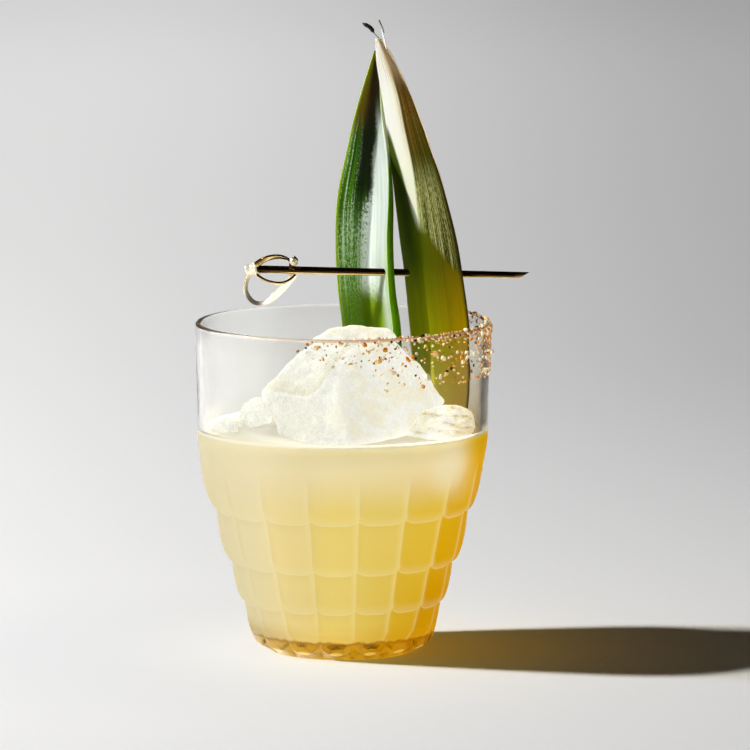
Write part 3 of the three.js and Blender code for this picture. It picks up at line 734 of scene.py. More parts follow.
def brass_finish(name, bright, roughness):
    """Polished brass, with a painted dark reflection on the sides that face up."""
    made, graph = material(name)
    spot = graph.place()
    facing = graph.node("ShaderNodeNewGeometry", None, None, "Normal")
    _, _, upward = graph.split(facing)
    wear = graph.noise(spot, 0.5, 4.0)
    fine = graph.noise(spot, 6.0, 2.0)
    colour = graph.mix(wear.step(0.4, 0.7), bright, srgb(236, 200, 138))
    # painted reflection: the sides that face up are painted dark, as if mirroring the dim room above
    colour = graph.mix(upward.step(-0.6, -0.35), colour, srgb(66, 46, 20))
    surface(graph, {
        "Base Color": colour, "Metallic": 1.0, "Roughness": roughness + wear * 0.12,
        "Normal": graph.bump(fine, 0.02, 0.3),
    })
    return made


def satin_brass_painted_highlights_finish():
    """Pale brushed brass of the knot and the hanging ring, painted pale and given a painted glow for the
    highlights they catch, with painted shade low inside the ring.
    """
    made, graph = material("satin_brass_painted_highlights")
    spot = graph.place()
    x, _, z = graph.split(spot)
    wear = graph.noise(spot, 0.4, 4.0)
    # pale, partly as a painted highlight
    colour = graph.mix(wear.step(0.35, 0.7), srgb(255, 248, 226), srgb(242, 214, 150))
    # painted shade: dark maroon low on the left of the ring
    colour = graph.mix(z.step(99.0, 97.0) * x.step(-22.5, -25.0), colour, srgb(110, 60, 26))
    # painted highlights: glow on the lower right of the ring and on the knot above, and a little everywhere
    ring_light = x.step(-25.5, -22.0) * z.step(105.0, 104.0) * 0.66
    lit = (ring_light + z.step(104.3, 105.6) * x.step(-20.0, -23.0) * 0.4 + 0.1).clamped()
    surface(graph, {
        "Base Color": colour, "Metallic": 1.0, "Roughness": 0.36 + wear * 0.1,
        "Normal": graph.bump(graph.noise(spot, 5.0, 2.0), 0.03, 0.4),
        "Emission Color": graph.mix(lit, BLACK, srgb(255, 244, 224)), "Emission Strength": 1.0,
    })
    return made


def spice_finish(name, dark, light, gloss):
    """Grain of one kind of spice, mottled between a dark and a light tone, with a slight painted glow."""
    made, graph = material(name)
    grain = graph.noise(graph.place(), 1.6, 3.0)
    colour = graph.mix(grain.step(0.3, 0.7), dark, light)
    # painted glow: part of the grain's colour glows
    surface(graph, {
        "Base Color": colour, "Roughness": gloss + grain * 0.25, "Specular IOR Level": 0.25,
        "Subsurface Weight": 0.1, "Subsurface Radius": (1.0, 0.6, 0.3), "Subsurface Scale": 0.0006,
        "Normal": graph.bump(grain, 0.1, 0.7), "Emission Color": colour, "Emission Strength": 0.22,
    })
    return made


def smooth_step(value, low, high):
    """0 at low, 1 at high and smooth between, for numbers and arrays."""
    share = np.clip((value - low) / (high - low), 0, 1)
    return share * share * (3 - 2 * share)


def placed(name, data):
    """New object of the data, in the scene."""
    made = bpy.data.objects.new(name, data)
    bpy.context.scene.collection.objects.link(made)
    return made


def applied(rough):
    """Mesh of an object with its modifiers worked in; the object itself is removed."""
    mesh = bpy.data.meshes.new_from_object(rough.evaluated_get(bpy.context.evaluated_depsgraph_get()))
    bpy.data.objects.remove(rough)
    return mesh


def mesh_piece(name, points, faces, finish, uv=None):
    """Object from points in millimetres; uv gives each point its place on the blade map."""
    mesh = bpy.data.meshes.new(name)
    mesh.from_pydata((np.asarray(points) * MM).tolist(), [], faces)
    mesh.materials.append(finish)
    if uv is not None:
        layer = mesh.uv_layers.new(name="blade")
        corners = np.empty(len(mesh.loops), dtype=np.int32)
        mesh.loops.foreach_get("vertex_index", corners)
        layer.data.foreach_set("uv", np.asarray(uv, dtype=np.float32)[corners].ravel())
    mesh.polygons.foreach_set("use_smooth", [True] * len(mesh.polygons))
    mesh.update()
    return placed(name, mesh)


def closed_faces(rows, columns):
    """Faces of a closed body whose points are a pole, rows of rings and another pole."""
    faces = []
    for row in range(rows - 1):
        for column in range(columns):
            after = (column + 1) % columns
            low, high = 1 + row * columns, 1 + (row + 1) * columns
            faces.append((low + column, low + after, high + after, high + column))
    last, end = 1 + (rows - 1) * columns, 1 + rows * columns
    for column in range(columns):
        after = (column + 1) % columns
        faces.append((0, 1 + after, 1 + column))
        faces.append((last + column, last + after, end))
    return faces


def revolved(name, rings, finish, start_z, end_z):
    """Closed body from a pole at start_z, through rings of points, to a pole at end_z."""
    points = np.vstack([[(0, 0, start_z)], *rings, [(0, 0, end_z)]])
    return mesh_piece(name, points, closed_faces(len(rings), len(rings[0])), finish)


def ring(radius, z, azimuths):
    """Ring of points at azimuths that run from the front towards +X."""
    radius = np.broadcast_to(radius, azimuths.shape)
    height = np.broadcast_to(z, azimuths.shape)
    return np.stack([radius * np.sin(azimuths), -radius * np.cos(azimuths), height], -1)


def glass_columns():
    """Azimuths that lie closer together near the ridges."""
    steps = (np.arange(COLUMNS_PER_FACET) + 0.5) / COLUMNS_PER_FACET * 2 - 1
    across = np.tile(np.sin(steps * math.pi / 2), FACETS)
    tile = np.repeat(np.arange(FACETS), COLUMNS_PER_FACET)
    return FACET_TURN + (tile + (across + 1) / 2) * 2 * math.pi / FACETS


def shape_group(name, inputs):
    """Geometry node group with named inputs, which hands out one shape."""
    group = bpy.data.node_groups.new(name, "GeometryNodeTree")
    for label, kind in inputs:
        group.interface.new_socket(label, in_out="INPUT", socket_type="NodeSocket" + kind)
    group.interface.new_socket("Shape", in_out="OUTPUT", socket_type="NodeSocketGeometry")
    return group, Graph(group)


def stored(graph, name, kind="FLOAT"):
    """A value kept on the mesh's points."""
    return graph.node("GeometryNodeInputNamedAttribute", {"data_type": kind}, {"Name": name})


def tile_relief():
    """Node group that presses the tiles into a plain turned body, from each ring's own shares."""
    group, graph = shape_group("tile_relief", (
        ("Body", "Geometry"), ("Tiles round", "Int"), ("First ridge", "Float"),
        ("Corner sharpness", "Float"), ("Ridge rounding", "Float"), ("Finish", "Material"),
    ))
    x, y, z = graph.split(graph.node("GeometryNodeInputPosition"))
    tiles = graph.entry("Tiles round")
    across, _ = tile_fields(x, y, 2 * math.pi / tiles, graph.entry("First ridge"))
    off_middle = across.math("ABSOLUTE")
    corner = off_middle ** graph.entry("Corner sharpness")
    inward = 1.0 - off_middle
    rounding = graph.entry("Ridge rounding")
    softened = 1.0 - ((inward * inward + rounding * rounding).math("SQRT") - rounding)
    half = math.pi / tiles
    chord = half.math("COSINE") / (half * softened).math("COSINE")
    scale = (chord - 1.0) * stored(graph, "flatness") + 1.0
    rise = corner * stored(graph, "lift") + inward * stored(graph, "star")
    place = graph.node("ShaderNodeCombineXYZ", None, {0: x * scale, 1: y * scale, 2: z + rise * MM})
    body = graph.entry("Body")
    pressed = graph.node("GeometryNodeSetPosition", None, {"Geometry": body, "Position": place})
    end_group(graph, pressed)
    return group


def end_group(graph, shape):
    """Realize, set the finish and hand the shape out."""
    real = graph.node("GeometryNodeRealizeInstances", None, {0: shape})
    finish = graph.entry("Finish")
    done = graph.node("GeometryNodeSetMaterial", None, {"Geometry": real, "Material": finish})
    graph.node("NodeGroupOutput", None, {0: done})


def grown(start, group, inputs):
    """Plain mesh object of what a node group makes of the start object."""
    modifier = start.modifiers.new("rule", "NODES")
    modifier.node_group = group
    for item in group.interface.items_tree:
        if item.in_out == "INPUT" and item.name in inputs:
            modifier[item.identifier] = inputs[item.name]
    name = start.name
    mesh = applied(start)
    mesh.name = name
    return placed(name, mesh)


def inner_profile(level, parts=6):
    """Inner wall from a level down to the floor, as radius and height, with every corner kept."""
    corners = [corner for corner in INNER_WALL if corner[1] < level]
    above = [corner for corner in INNER_WALL if corner[1] >= level][-1]
    share = (level - corners[0][1]) / (above[1] - corners[0][1])
    start = (corners[0][0] + (above[0] - corners[0][0]) * share, level)
    points = []
    for (radius, z), (next_radius, next_z) in zip([start, *corners], corners):
        for part in range(parts):
            points.append((radius + (next_radius - radius) * part / parts, z + (next_z - z) * part / parts))
    return [*points, corners[-1]]


def build_glass(finish):
    """Tumbler from the underside up the outside, over the rim and down the inside to its floor."""
    azimuths = glass_columns()
    rings, shares = [], []

    def add(radius, z, flatness=0.0, lift=0.0, star=0.0):
        rings.append(ring(radius, z, azimuths))
        shares.append((flatness, lift, star))

    for radius, star in FOOT_STAR:
        add(radius, 0.02, star=star)
    add(20.2, 0)
    add(FOOT_RADIUS - 0.5, 0)
    add(FOOT_RADIUS, 0.35)
    downs = np.sin(np.linspace(0, math.pi / 2, ROWS_PER_TIER + 1)) ** 0.9
    for level in range(len(TIERS) - 1, -1, -1):
        tier = TIERS[level]
        top_lift = TIERS[level - 1]["lift"] if level else 0.0
        for down in downs[:0:-1]:
            bulge = math.sqrt(1 - down ** 4)
            radius = tier["seam"] + (tier["radius"] - tier["taper"] * down - tier["seam"]) * bulge
            flatness = 1.0 if level else float(smooth_step(down, 0, 0.6))
            lift = top_lift * (1 - down) + tier["lift"] * down
            add(radius, tier["top"] + (tier["bottom"] - tier["top"]) * down, flatness, lift)
    wall = TIERS[0]
    for z in np.linspace(wall["top"], GLASS_HEIGHT - 0.9, 6):
        share = (z - wall["top"]) / (GLASS_HEIGHT - wall["top"])
        add(wall["radius"] + (RIM_RADIUS - wall["radius"]) * share, z)
    half_wall = (RIM_RADIUS - MOUTH_RADIUS) / 2
    for turn in np.linspace(0, math.pi, 11):
        add((RIM_RADIUS + MOUTH_RADIUS) / 2 + half_wall * math.cos(turn),
            GLASS_HEIGHT - half_wall + half_wall * math.sin(turn))
    for radius, z in inner_profile(INNER_WALL[0][1])[1:]:
        add(radius, z)
    for radius in (18, 10):
        add(radius, FLOOR_HEIGHT + 0.02 * radius / 10)
    body = revolved("tumbler", rings, finish, 0.2, FLOOR_HEIGHT)
    columns = len(azimuths)
    for index, name in enumerate(("flatness", "lift", "star")):
        values = np.concatenate([[0], np.repeat([share[index] for share in shares], columns), [0]])
        layer = body.data.attributes.new(name, "FLOAT", "POINT")
        layer.data.foreach_set("value", values.astype(np.float32))
    return grown(body, tile_relief(), {
        "Tiles round": FACETS, "First ridge": FACET_TURN, "Corner sharpness": float(CORNER_SHARPNESS),
        "Ridge rounding": RIDGE_ROUNDING, "Finish": finish,
    })


def build_drink(finish):
    """Body of the drink, reaching just into the wall, with its edge drawn up at the glass."""
    azimuths = np.linspace(0, 2 * math.pi, DRINK_COLUMNS, endpoint=False)
    profile = np.array(inner_profile(DRINK_LEVEL + MENISCUS_HEIGHT)[::-1])
    along = np.gradient(profile, axis=0)
    along /= np.linalg.norm(along, axis=1, keepdims=True)
    profile = profile + np.stack([along[:, 1], -along[:, 0]], -1) * WALL_OVERLAP
    rings = [ring(radius, FLOOR_HEIGHT - WALL_OVERLAP, azimuths) for radius in (10, 19)]
    rings += [ring(radius, z, azimuths) for radius, z in profile]
    edge_radius = profile[-1][0]
    for inward in SURFACE_STEPS:
        height = DRINK_LEVEL + MENISCUS_HEIGHT * math.exp(-inward / MENISCUS_REACH)
        swell = SURFACE_SWELL * np.sin(3 * azimuths + inward * 0.4) * min(inward / 6, 1)
        rings.append(ring(edge_radius - inward, height + swell, azimuths))
    return revolved("cloudy_drink", rings, finish, FLOOR_HEIGHT - WALL_OVERLAP, DRINK_LEVEL)


def build_ice(name, corners, finish, cell, softenings, dents):
    """Lump with softened edges and dented faces, from the corners of its hull."""
    shape = bmesh.new()
    for corner in corners:
        shape.verts.new(Vector(corner) * MM)
    bmesh.ops.convex_hull(shape, input=shape.verts)
    loose = [vert for vert in shape.verts if not vert.link_faces]
    bmesh.ops.delete(shape, geom=loose, context="VERTS")
    bmesh.ops.recalc_face_normals(shape, faces=shape.faces)
    mesh = bpy.data.meshes.new(name)
    shape.to_mesh(mesh)
    shape.free()
    rough = placed(name + "_rough", mesh)
    cells = rough.modifiers.new("cells", "REMESH")
    cells.mode = "VOXEL"
    cells.voxel_size = cell * MM
    soft = rough.modifiers.new("soft", "SMOOTH")
    soft.factor = 0.5
    soft.iterations = softenings
    for index, (size, depth) in enumerate(dents):
        texture = bpy.data.textures.new(f"{name}_dents_{index}", "CLOUDS")
        texture.noise_scale = size * MM
        push = rough.modifiers.new(f"dents_{index}", "DISPLACE")
        push.texture = texture
        push.texture_coords = "GLOBAL"
        push.strength = depth * MM
        push.mid_level = 0.5
    mesh = applied(rough)
    mesh.name = name
    mesh.materials.clear()
    mesh.materials.append(finish)
    mesh.polygons.foreach_set("use_smooth", [True] * len(mesh.polygons))
    return placed(name + "_piece", mesh)


def catmull_rom(points, shares):
    """Centripetal Catmull-Rom spline through rows of points, at shares from 0 to 1. First, second and
    third are the spans between the four points round each share."""
    points = np.asarray(points, dtype=float)
    count = len(points)
    padded = np.vstack([2 * points[:1] - points[1:2], points, 2 * points[-1:] - points[-2:-1]])
    places = np.asarray(shares, dtype=float) * (count - 1)
    start = np.minimum(places.astype(int), count - 2)
    weight = (places - start)[:, None]
    before, here, after, beyond = (padded[start + step] for step in range(4))
    first, second, third = (
        np.maximum(np.sum((b - a) ** 2, -1, keepdims=True) ** 0.25, 1e-4)
        for a, b in ((before, here), (here, after), (after, beyond))
    )
    leave = (here - before) / first - (after - before) / (first + second) + (after - here) / second
    arrive = (after - here) / second - (beyond - here) / (second + third) + (beyond - after) / third
    leave, arrive = leave * second, arrive * second
    cubic = 2 * here - 2 * after + leave + arrive
    square = -3 * here + 3 * after - 2 * leave - arrive
    return ((cubic * weight + square) * weight + leave) * weight + here


def blade_surface(stations, roundness, rows, columns):
    """Grid of points on a leaf's middle surface, rows from the tip down."""
    guides = []
    for line in range(len(stations[0][1])):
        guides.append(catmull_rom([(*lines[line], z) for z, lines in stations], np.linspace(0, 1, rows)))
    guides = np.array(guides)
    walls = len(guides) - 1
    shares = np.linspace(0, 1, columns)
    wall = np.minimum((shares * walls).astype(int), walls - 1)
    part = (shares * walls - wall)[:, None]
    grid = []
    for row in range(rows):
        lines = guides[:, row]
        flat = lines[wall] * (1 - part) + lines[wall + 1] * part
        grid.append(flat * (1 - roundness) + catmull_rom(lines, shares) * roundness)
    return np.array(grid)


def build_leaf(name, stations, roundness, finish, ribs, rib_depth, rows=150, columns=61):
    """Thin solid leaf with fine lengthwise ribs, thickest in the middle."""
    grid = blade_surface(stations, roundness, rows, columns)
    along = np.gradient(grid, axis=0)
    sideways = np.gradient(grid, axis=1)
    facing = np.cross(sideways, along)
    facing /= np.maximum(np.linalg.norm(facing, axis=-1, keepdims=True), 1e-9)
    across, down = np.meshgrid(np.linspace(0, 1, columns), np.linspace(0, 1, rows))
    ripple = rib_depth * np.sin(across * ribs * 2 * math.pi) * smooth_step(down, 0.02, 0.2)
    wave = 0.18 * np.sin(down * 17 + across * 3) * smooth_step(down, 0.1, 0.4)
    middle = grid + facing * (ripple + wave)[..., None]
    towards_tip = 0.5 + 0.5 * smooth_step(down, 0, 0.15)
    half = LEAF_THICKNESS / 2 * (0.25 + 0.75 * np.sin(math.pi * across) ** 0.7) * towards_tip
    front = middle + facing * half[..., None]
    back = middle - facing * half[..., None]
    points = np.vstack([front.reshape(-1, 3), back.reshape(-1, 3)])
    size = rows * columns
    faces = []
    for row in range(rows - 1):
        for column in range(columns - 1):
            a = row * columns + column
            b, c, d = a + columns, a + columns + 1, a + 1
            faces.append((a, d, c, b))
            faces.append((a + size, b + size, c + size, d + size))
        left, right = row * columns, row * columns + columns - 1
        faces.append((left, left + columns, left + columns + size, left + size))
        faces.append((right + size, right + columns + size, right + columns, right))
    for column in range(columns - 1):
        low = (rows - 1) * columns + column
        faces.append((column + size, column + 1 + size, column + 1, column))
        faces.append((low, low + 1, low + 1 + size, low + size))
    blade = np.stack([across.ravel(), down.ravel()], -1)
    return mesh_piece(name, points, faces, finish, np.vstack([blade, blade]))


def bar(path, section, steps, taper=None, twist=None, place=None):
    """Points and faces of a closed bar: an outline of (side, up) points carried along a smooth path.
    The taper scales it and the twist, in degrees, turns it, both by the share along the path."""
    shares = np.linspace(0, 1, steps)
    centre = catmull_rom(path, shares)
    if place:
        centre = place(centre)
    tangent = np.gradient(centre, axis=0)
    tangent /= np.linalg.norm(tangent, axis=-1, keepdims=True)
    side = np.cross(tangent[0], (0.0, 0.0, 1.0))
    if np.linalg.norm(side) < 0.1:
        side = np.cross(tangent[0], (0.0, 1.0, 0.0))
    rings = []
    for point, forward, share in zip(centre, tangent, shares):
        side = side - forward * np.dot(side, forward)
        side /= np.linalg.norm(side)
        up = np.cross(side, forward)
        size = taper(share) if taper else 1.0
        turn = math.radians(twist(share)) if twist else 0.0
        wide = side * math.cos(turn) + up * math.sin(turn)
        thin = up * math.cos(turn) - side * math.sin(turn)
        rings.append([point + (wide * a + thin * b) * size for a, b in section])
    points = [centre[0], *np.vstack(rings), centre[-1]]
    return points, closed_faces(steps, len(section))


def joined(name, bars, finish):
    """One object of several bars."""
    points, faces = [], []
    for bar_points, bar_faces in bars:
        first = len(points)
        faces += [tuple(corner + first for corner in face) for face in bar_faces]
        points += list(bar_points)
    return mesh_piece(name, points, faces, finish)


def band(half_width, half_thickness, sides=20):
    """Outline of a flat band with rounded edges."""
    outline = []
    for turn in np.arange(sides) * 2 * math.pi / sides:
        across, up = math.cos(turn), math.sin(turn)
        outline.append((half_width * math.copysign(abs(across) ** 0.6, across),
                        half_thickness * math.copysign(abs(up) ** 0.6, up)))
    return outline


def feathered(share):
    """Thickness of the dark filament: thin, with a long swelling towards its end."""
    stalk = 0.2 + 0.5 * float(smooth_step(share, 0.07, 0.0))
    return stalk + float(smooth_step(share, 0.36, 0.52) * smooth_step(share, 1.03, 0.86))


def spindle(share):
    """Thickness of the shred, thinnest at its ends."""
    return 0.2 + 0.8 * math.sin(math.pi * (0.15 + 0.75 * share))


def build_dry_tips():
    """The dark and the grey filament, the white shred and the frayed strands at the leaf's dry tip."""
    dark = dry_fibre_finish("dark_fibre", srgb(10, 6, 2), srgb(40, 26, 14), 0.1)
    grey = dry_fibre_finish("grey_fibre", srgb(64, 68, 56), srgb(120, 122, 108), 0.2)
    pale = dry_fibre_finish("pale_fibre", srgb(226, 226, 216), srgb(255, 254, 250), 0.4)
    cream = dry_fibre_finish("cream_fibre", srgb(214, 176, 128), srgb(244, 226, 192), 0.3)
    dark_tip = bar(DARK_TIP, oval(0.56, 0.5, 10), 40, feathered)
    grey_tip = bar(GREY_TIP, oval(0.3, 0.24, 8), 24, lambda share: 0.5 + 0.6 * share)
    shred = bar(SHRED, oval(0.6, 0.3, 12), 24, spindle)
    strands = []
    for row, (drop, length, reach) in enumerate(STRANDS):
        high, low = frayed_edge(drop), frayed_edge(drop + length)
        middle = (high + low) / 2 + np.array((reach, -0.1, 0.2))
        strands.append(bar(
            [high, middle, low], oval(0.3, 0.1, 8), 14,
            taper=lambda share: math.sin(math.pi * share) * 0.9 + 0.15,
            twist=lambda share: STRAND_TWIST * row * share,
        ))
    return (
        joined("dark_tip", [dark_tip], dark), joined("grey_tip", [grey_tip], grey),
        joined("pale_shred", [shred], pale), joined("strands", strands, cream),
    )


def frayed_edge(down):
    """Point on the right margin of the keeled leaf; down is 0 at the tip and 1 at the foot."""
    return catmull_rom([(*lines[2], z) for z, lines in RIGHT_LEAF], [down])[0]


def oval(half_width, half_thickness, sides):
    """Outline of an ellipse."""
    turns = np.arange(sides) * 2 * math.pi / sides
    return [(half_width * math.cos(t), half_thickness * math.sin(t)) for t in turns]


def pick_place(points):
    """From the pick's own frame to the part's."""
    points = np.asarray(points, dtype=float)
    x = points[:, 0] * math.cos(PICK_RISE) - points[:, 2] * math.sin(PICK_RISE)
    z = points[:, 0] * math.sin(PICK_RISE) + points[:, 2] * math.cos(PICK_RISE)
    turned_x = x * math.cos(PICK_YAW) - points[:, 1] * math.sin(PICK_YAW)
    turned_y = x * math.sin(PICK_YAW) + points[:, 1] * math.cos(PICK_YAW)
    return np.stack([turned_x, turned_y, z], -1) + np.array(PICK_PLACE)


def plain_wall_radius(z):
    """Outer radius of the glass above its tiles."""
    share = (z - TIERS[0]["top"]) / (GLASS_HEIGHT - TIERS[0]["top"])
    return TIERS[0]["radius"] + (RIM_RADIUS - TIERS[0]["radius"]) * share


def part_stream(seed):
    """The part's own repeatable stream of numbers from 0 to 1."""
    state = seed
    while True:
        state = state * STREAM_FACTOR % STREAM_LENGTH
        yield state / STREAM_LENGTH


def spice_grains():
    """Place and size of each grain: the part's grains first, then finer ones between."""
    draw = part_stream(SPICE_SEED)
    extra = random.Random(DUST_SEED)
    grains = []
    for zones, fine in ((SPICE_ZONES, False), (DUST_ZONES, True)):
        for count, start, end, reach, size in zones:
            for index in range(count):
                share, drop, scale = [extra.random() if fine else next(draw) for _ in range(3)]
                azimuth = math.radians(start + (end - start) * (index + share) / count)
                depth = reach * drop ** (2.4 if fine else 1.5)
                grain = size * (0.7 + 0.5 * scale)
                if reach < 1:
                    radius, z = (MOUTH_RADIUS + RIM_RADIUS) / 2, GLASS_HEIGHT + GRAIN_SINK * grain
                    radius += extra.uniform(-0.5, 0.5) if fine else 0
                else:
                    z = GLASS_HEIGHT - 0.6 - depth
                    radius = plain_wall_radius(z) + (0.5 - GRAIN_SINK) * grain
                if not fine:
                    for _ in range(DRAWS_PER_LUMP):
                        next(draw)
                grains.append(((radius * math.sin(azimuth), -radius * math.cos(azimuth), z), grain))
    return grains


def rough_grains():
    """Node group that sets one rough grain on every point, by the point's own turn and stretch."""
    group, graph = shape_group("rough_grains", (
        ("Points", "Geometry"), ("Roughness", "Float"), ("Seed", "Float"), ("Finish", "Material"),
    ))
    ball = graph.node("GeometryNodeMeshIcoSphere", None, {"Radius": 0.5 * MM, "Subdivisions": 1})
    spot = graph.node("GeometryNodeInputPosition")
    lumps = graph.node("ShaderNodeTexNoise", {"noise_dimensions": "4D"}, {
        "Vector": spot, "W": graph.entry("Seed"), "Scale": 1.9 / MM, "Detail": 2.0,
    })
    push = (lumps - 0.5) * graph.entry("Roughness") + 1.0
    uneven = graph.vector("SCALE", spot, push)
    rough = graph.node("GeometryNodeSetPosition", None, {"Geometry": ball, "Position": uneven})
    turn = stored(graph, "turn", "FLOAT_VECTOR")
    stretch = stored(graph, "stretch", "FLOAT_VECTOR")
    grains = graph.node("GeometryNodeInstanceOnPoints", None, {
        "Points": graph.entry("Points"), "Instance": rough, "Rotation": turn, "Scale": stretch,
    })
    end_group(graph, grains)
    return group


def build_spice():
    """One piece for each kind of grain."""
    draw = random.Random(KIND_SEED)
    group = rough_grains()
    kinds = [kind[0] for kind in SPICE_KINDS]
    weights = [kind[1] for kind in SPICE_KINDS]
    sorted_grains = {kind: [] for kind in kinds}
    for place, size in spice_grains():
        sorted_grains[draw.choices(kinds, weights)[0]].append((place, size))
    pieces = []
    for index, (kind, _, dark, light, gloss) in enumerate(SPICE_KINDS):
        grains = sorted_grains[kind]
        finish = spice_finish("spice_" + kind, srgb(*dark), srgb(*light), gloss)
        points = mesh_piece("spice_" + kind, [place for place, _ in grains], [], finish)
        turns = [[draw.uniform(0, 6.28) for _ in range(3)] for _ in grains]
        stretches = []
        for _, size in grains:
            widest = 1.1 + size * 0.25
            stretches.append([size * draw.uniform(0.5, widest) for _ in range(3)])
        for name, values in (("turn", turns), ("stretch", stretches)):
            layer = points.data.attributes.new(name, "FLOAT_VECTOR", "POINT")
            layer.data.foreach_set("vector", np.array(values, dtype=np.float32).ravel())
        inputs = {"Roughness": GRAIN_UNEVENNESS, "Seed": float(index), "Finish": finish}
        pieces.append(grown(points, group, inputs))
    return pieces


def build_rod(finish):
    """Round rod, rounded off at the knot and cut at a slant at the point."""
    turns = np.linspace(0, 2 * math.pi, 28, endpoint=False)
    stations = [(ROD_START - 0.4, 0.4), (ROD_START, 0.9), (ROD_START + 0.6, 1.15)]
    for x in np.linspace(ROD_START + 1.5, ROD_END - 5, 40):
        radius = ROD_RADIUS + (ROD_END_RADIUS - ROD_RADIUS) * (x - ROD_START) / (ROD_END - ROD_START)
        stations.append((x, radius))
    rows = []
    for x, radius in stations:
        rows.append(np.stack([np.full_like(turns, x), np.cos(turns) * radius, np.sin(turns) * radius], -1))
    slope = 1 / math.tan(math.radians(90) - ROD_CUT_ANGLE)
    for inset in (0.0, 0.12):
        height = np.sin(turns) * (ROD_END_RADIUS - inset)
        end = ROD_END - (ROD_END_RADIUS - height) * slope + inset * 0.4
        rows.append(np.stack([end, np.cos(turns) * (ROD_END_RADIUS - inset), height], -1))
    centre_end = (ROD_END - ROD_END_RADIUS * slope + 0.05, 0, 0)
    points = np.vstack([[(ROD_START - 0.6, 0, 0)], *rows, [centre_end]])
    return mesh_piece("pick_rod", pick_place(points), closed_faces(len(rows), len(turns)), finish)


def build_lump(name, finish, centre, radii):
    """Smooth round lump in the pick's frame."""
    rows = []
    azimuths = np.linspace(0, 2 * math.pi, 24, endpoint=False)
    for tilt in np.linspace(-math.pi / 2, math.pi / 2, 15)[1:-1]:
        rows.append(ring(math.cos(tilt), math.sin(tilt), azimuths))
    points = np.vstack([[(0, 0, -1)], *rows, [(0, 0, 1)]]) * radii + np.array(centre)
    return mesh_piece(name, pick_place(points), closed_faces(len(rows), len(azimuths)), finish)


def floor_finish():
    """Pale paper with painted shade: darker to the right, more so far behind on the right, as the lamp's
    light falls off, and darker in a patch left of the glass, against the light the drink throws there; with
    some light of its own far behind.
    Shiny things see it dim on the far right, as if a dark card stood there."""
    made, graph = material("pale_table")
    spot = graph.place()
    x, y, _ = graph.split(spot)
    fleck = graph.noise(spot, 0.35, 3.0)
    rightward = x.step(-160.0, 260.0)
    behind = y.step(0.0, 700.0)
    # painted shade: darker to the right, more so far behind
    shade = graph.mix(rightward * (behind * 0.7 + 0.1), srgb(244, 244, 245), srgb(196, 197, 200))
    # painted shade: a darker patch left of the glass
    painted_shade_next_to_glass = ((x + 44.0) ** 2.0 + (y * 0.8) ** 2.0).math("SQRT").step(110.0, 10.0)
    shade = graph.mix(painted_shade_next_to_glass * 0.8, shade, srgb(226, 228, 234))
    paper = graph.mix(fleck * 0.2, shade, srgb(222, 222, 223))
    far = y.step(150.0, 2000.0)
    glow = graph.mix(rightward, (0.53, 0.53, 0.53, 1.0), (0.28, 0.28, 0.28, 1.0))
    table = graph.node("ShaderNodeBsdfPrincipled", None, {
        "Base Color": paper, "Roughness": 0.85, "Normal": graph.bump(fleck, 0.2, 0.3),
        "Emission Color": graph.mix(far, BLACK, glow), "Emission Strength": 1.0,
    })
    mirrored = graph.node("ShaderNodeLightPath", None, None, "Is Glossy Ray")
    dim = graph.node("ShaderNodeBsdfDiffuse", None, {"Color": srgb(140, 140, 140)})
    far_right = mirrored * (x - y * 0.06).step(125.0, 170.0)
    surface(graph, graph.node("ShaderNodeMixShader", None, {0: far_right, 1: table, 2: dim}))
    return made


def build_floor():
    """Floor a hair below the foot, so that the two never share a plane."""
    side, height = 15000, -0.05
    corners = [(-side, -side, height), (side, -side, height), (side, side, height), (-side, side, height)]
    mesh_piece("table", corners, [(0, 1, 2, 3)], floor_finish())


def add_light(name, place, size, power, colour=(1, 1, 1)):
    """Rectangular lamp that faces the drink."""
    light = bpy.data.lights.new(name, "AREA")
    light.shape = "RECTANGLE"
    light.size, light.size_y = size[0] * MM, size[1] * MM
    light.energy = power
    light.color = colour
    made = placed(name, light)
    made.location = Vector(place) * MM
    made.rotation_euler = (Vector(LAMP_AIM) - Vector(place)).to_track_quat("-Z", "Y").to_euler()


def build_stage():
    """Floor, a faint sky, a small strong key at the left and a broad weak fill in front."""
    build_floor()
    world = bpy.data.worlds.new("studio")
    bpy.context.scene.world = world
    world.use_nodes = True
    graph = Graph(world.node_tree)
    direction = graph.node("ShaderNodeTexCoord", None, None, "Generated")
    x, _, _ = graph.split(direction)
    stops = ((0.0, srgb(250, 250, 250)), (0.5, srgb(206, 207, 210)), (1.0, srgb(140, 142, 146)))
    tone = graph.ramp(x * 0.5 + 0.5, *stops)
    sky = graph.node("ShaderNodeBackground", None, {"Color": tone, "Strength": 0.02})
    graph.node("ShaderNodeOutputWorld", None, {"Surface": sky})
    reach = KEY_DISTANCE * math.cos(KEY_RISE)
    height = LAMP_AIM[2] + KEY_DISTANCE * math.sin(KEY_RISE)
    key_place = (-reach * math.cos(KEY_TURN), reach * math.sin(KEY_TURN), height)
    add_light("key", key_place, (120, 120), 43, (1.0, 0.995, 0.98))
    add_light("fill", FILL_PLACE, (1800, 1000), 2)


def build_camera():
    """Camera at the photograph's distance and height, with its scale in pixels per millimetre."""
    camera = bpy.data.cameras.new("view")
    camera.sensor_width = SENSOR
    camera.lens = SENSOR * PIXELS_PER_MM * VIEW_DISTANCE / IMAGE_SIDE
    camera.clip_end = 100
    made = placed("view", camera)
    aim = Vector(VIEW_AIM) * MM
    back = Vector((0, -math.cos(VIEW_ELEVATION), math.sin(VIEW_ELEVATION)))
    made.location = aim + back * VIEW_DISTANCE * MM
    made.rotation_euler = (-back).to_track_quat("-Z", "Y").to_euler()
    bpy.context.scene.camera = made
    bpy.context.scene.view_settings.view_transform = "Standard"


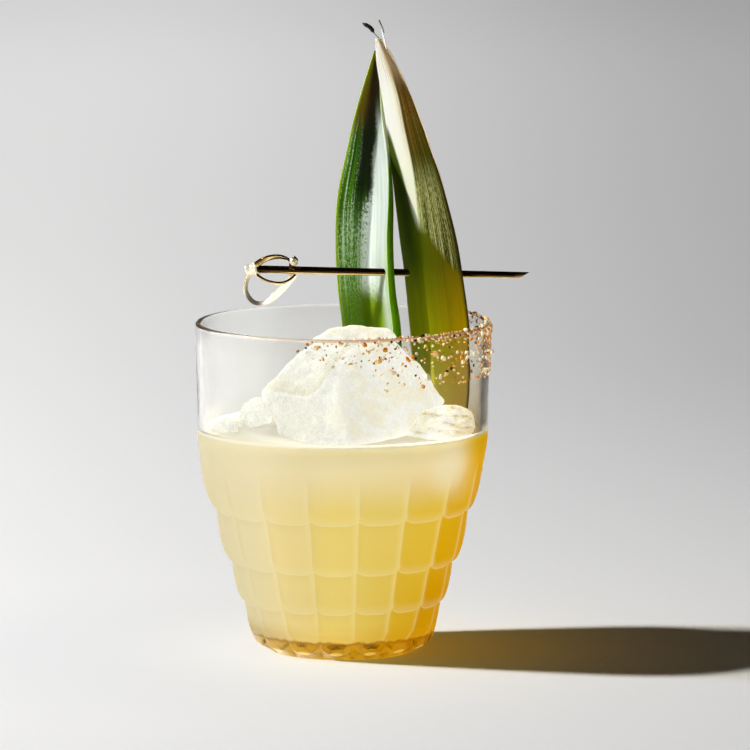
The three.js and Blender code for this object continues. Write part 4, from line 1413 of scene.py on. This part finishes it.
def add_piece(piece, slot, *nodes):
    """Piece on the one body, in place of the part's nodes it stands for. The slot is not used."""
    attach(piece, "root")
    if nodes:
        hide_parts(*nodes)


build_camera()
build_stage()

add_piece(build_glass(glass_finish()), "glass", "glass")
add_piece(build_drink(drink_finish()), "drink", "drink")
for grains in build_spice():
    add_piece(grains, "spice", "glass")
frosty = ice_finish("frosty_ice", 0.12, 0.35, 0.0)
clear = ice_finish("clear_ice", 0.3, 1.0, 0.7)
misty = ice_finish("misty_ice", 0.65, 0.15, 0.0)
add_piece(build_ice("ice_block", ICE_BLOCK, frosty, **BLOCK_ICE), "ice", "ice_block")
for chip, corners in ICE_CHIPS.items():
    finish = clear if chip == "ice_chip_right" else misty
    add_piece(build_ice(chip, corners, finish, **CHIP_ICE), "ice", chip)
left_blade = build_leaf("leaf_left_blade", LEFT_LEAF, 0.8, left_leaf_finish(), ribs=9, rib_depth=0.1)
add_piece(left_blade, "green_leaf", "leaf_left")
right_blade = build_leaf("leaf_right_blade", RIGHT_LEAF, 0.3, right_leaf_finish(), ribs=21, rib_depth=0.03)
add_piece(right_blade, "pale_leaf", "leaf_right")
brass = brass_finish("polished_brass", srgb(255, 230, 176), 0.1)
satin_painted_highlights = satin_brass_painted_highlights_finish()
add_piece(build_rod(brass), "brass", "pick")
wire = band(0.9, 0.36)
loops = (
    ("pick_eye_top", EYE_TOP, wire, brass, lambda share: 60 - 60 * share),
    ("pick_eye_bottom", EYE_BOTTOM, wire, brass, lambda share: 55 - 30 * share),
    ("pick_ring", RING, band(1.0, 0.32), satin_painted_highlights, lambda share: -75 * float(smooth_step(share, 0.45, 0.7))),
    ("pick_wrap", WRAP, band(0.75, 0.28), satin_painted_highlights, None),
    ("pick_stub", STUB, band(0.85, 0.6), brass, None),
)
for name, path, outline, finish, twist in loops:
    add_piece(joined(name, [bar(path, outline, 72, twist=twist, place=pick_place)], finish), "brass")
add_piece(build_lump("pick_knot", satin_painted_highlights, **KNOT), "brass")
add_piece(build_lump("pick_knob", satin_painted_highlights, **KNOB), "brass")
for tips in build_dry_tips():
    add_piece(tips, "pale_leaf")
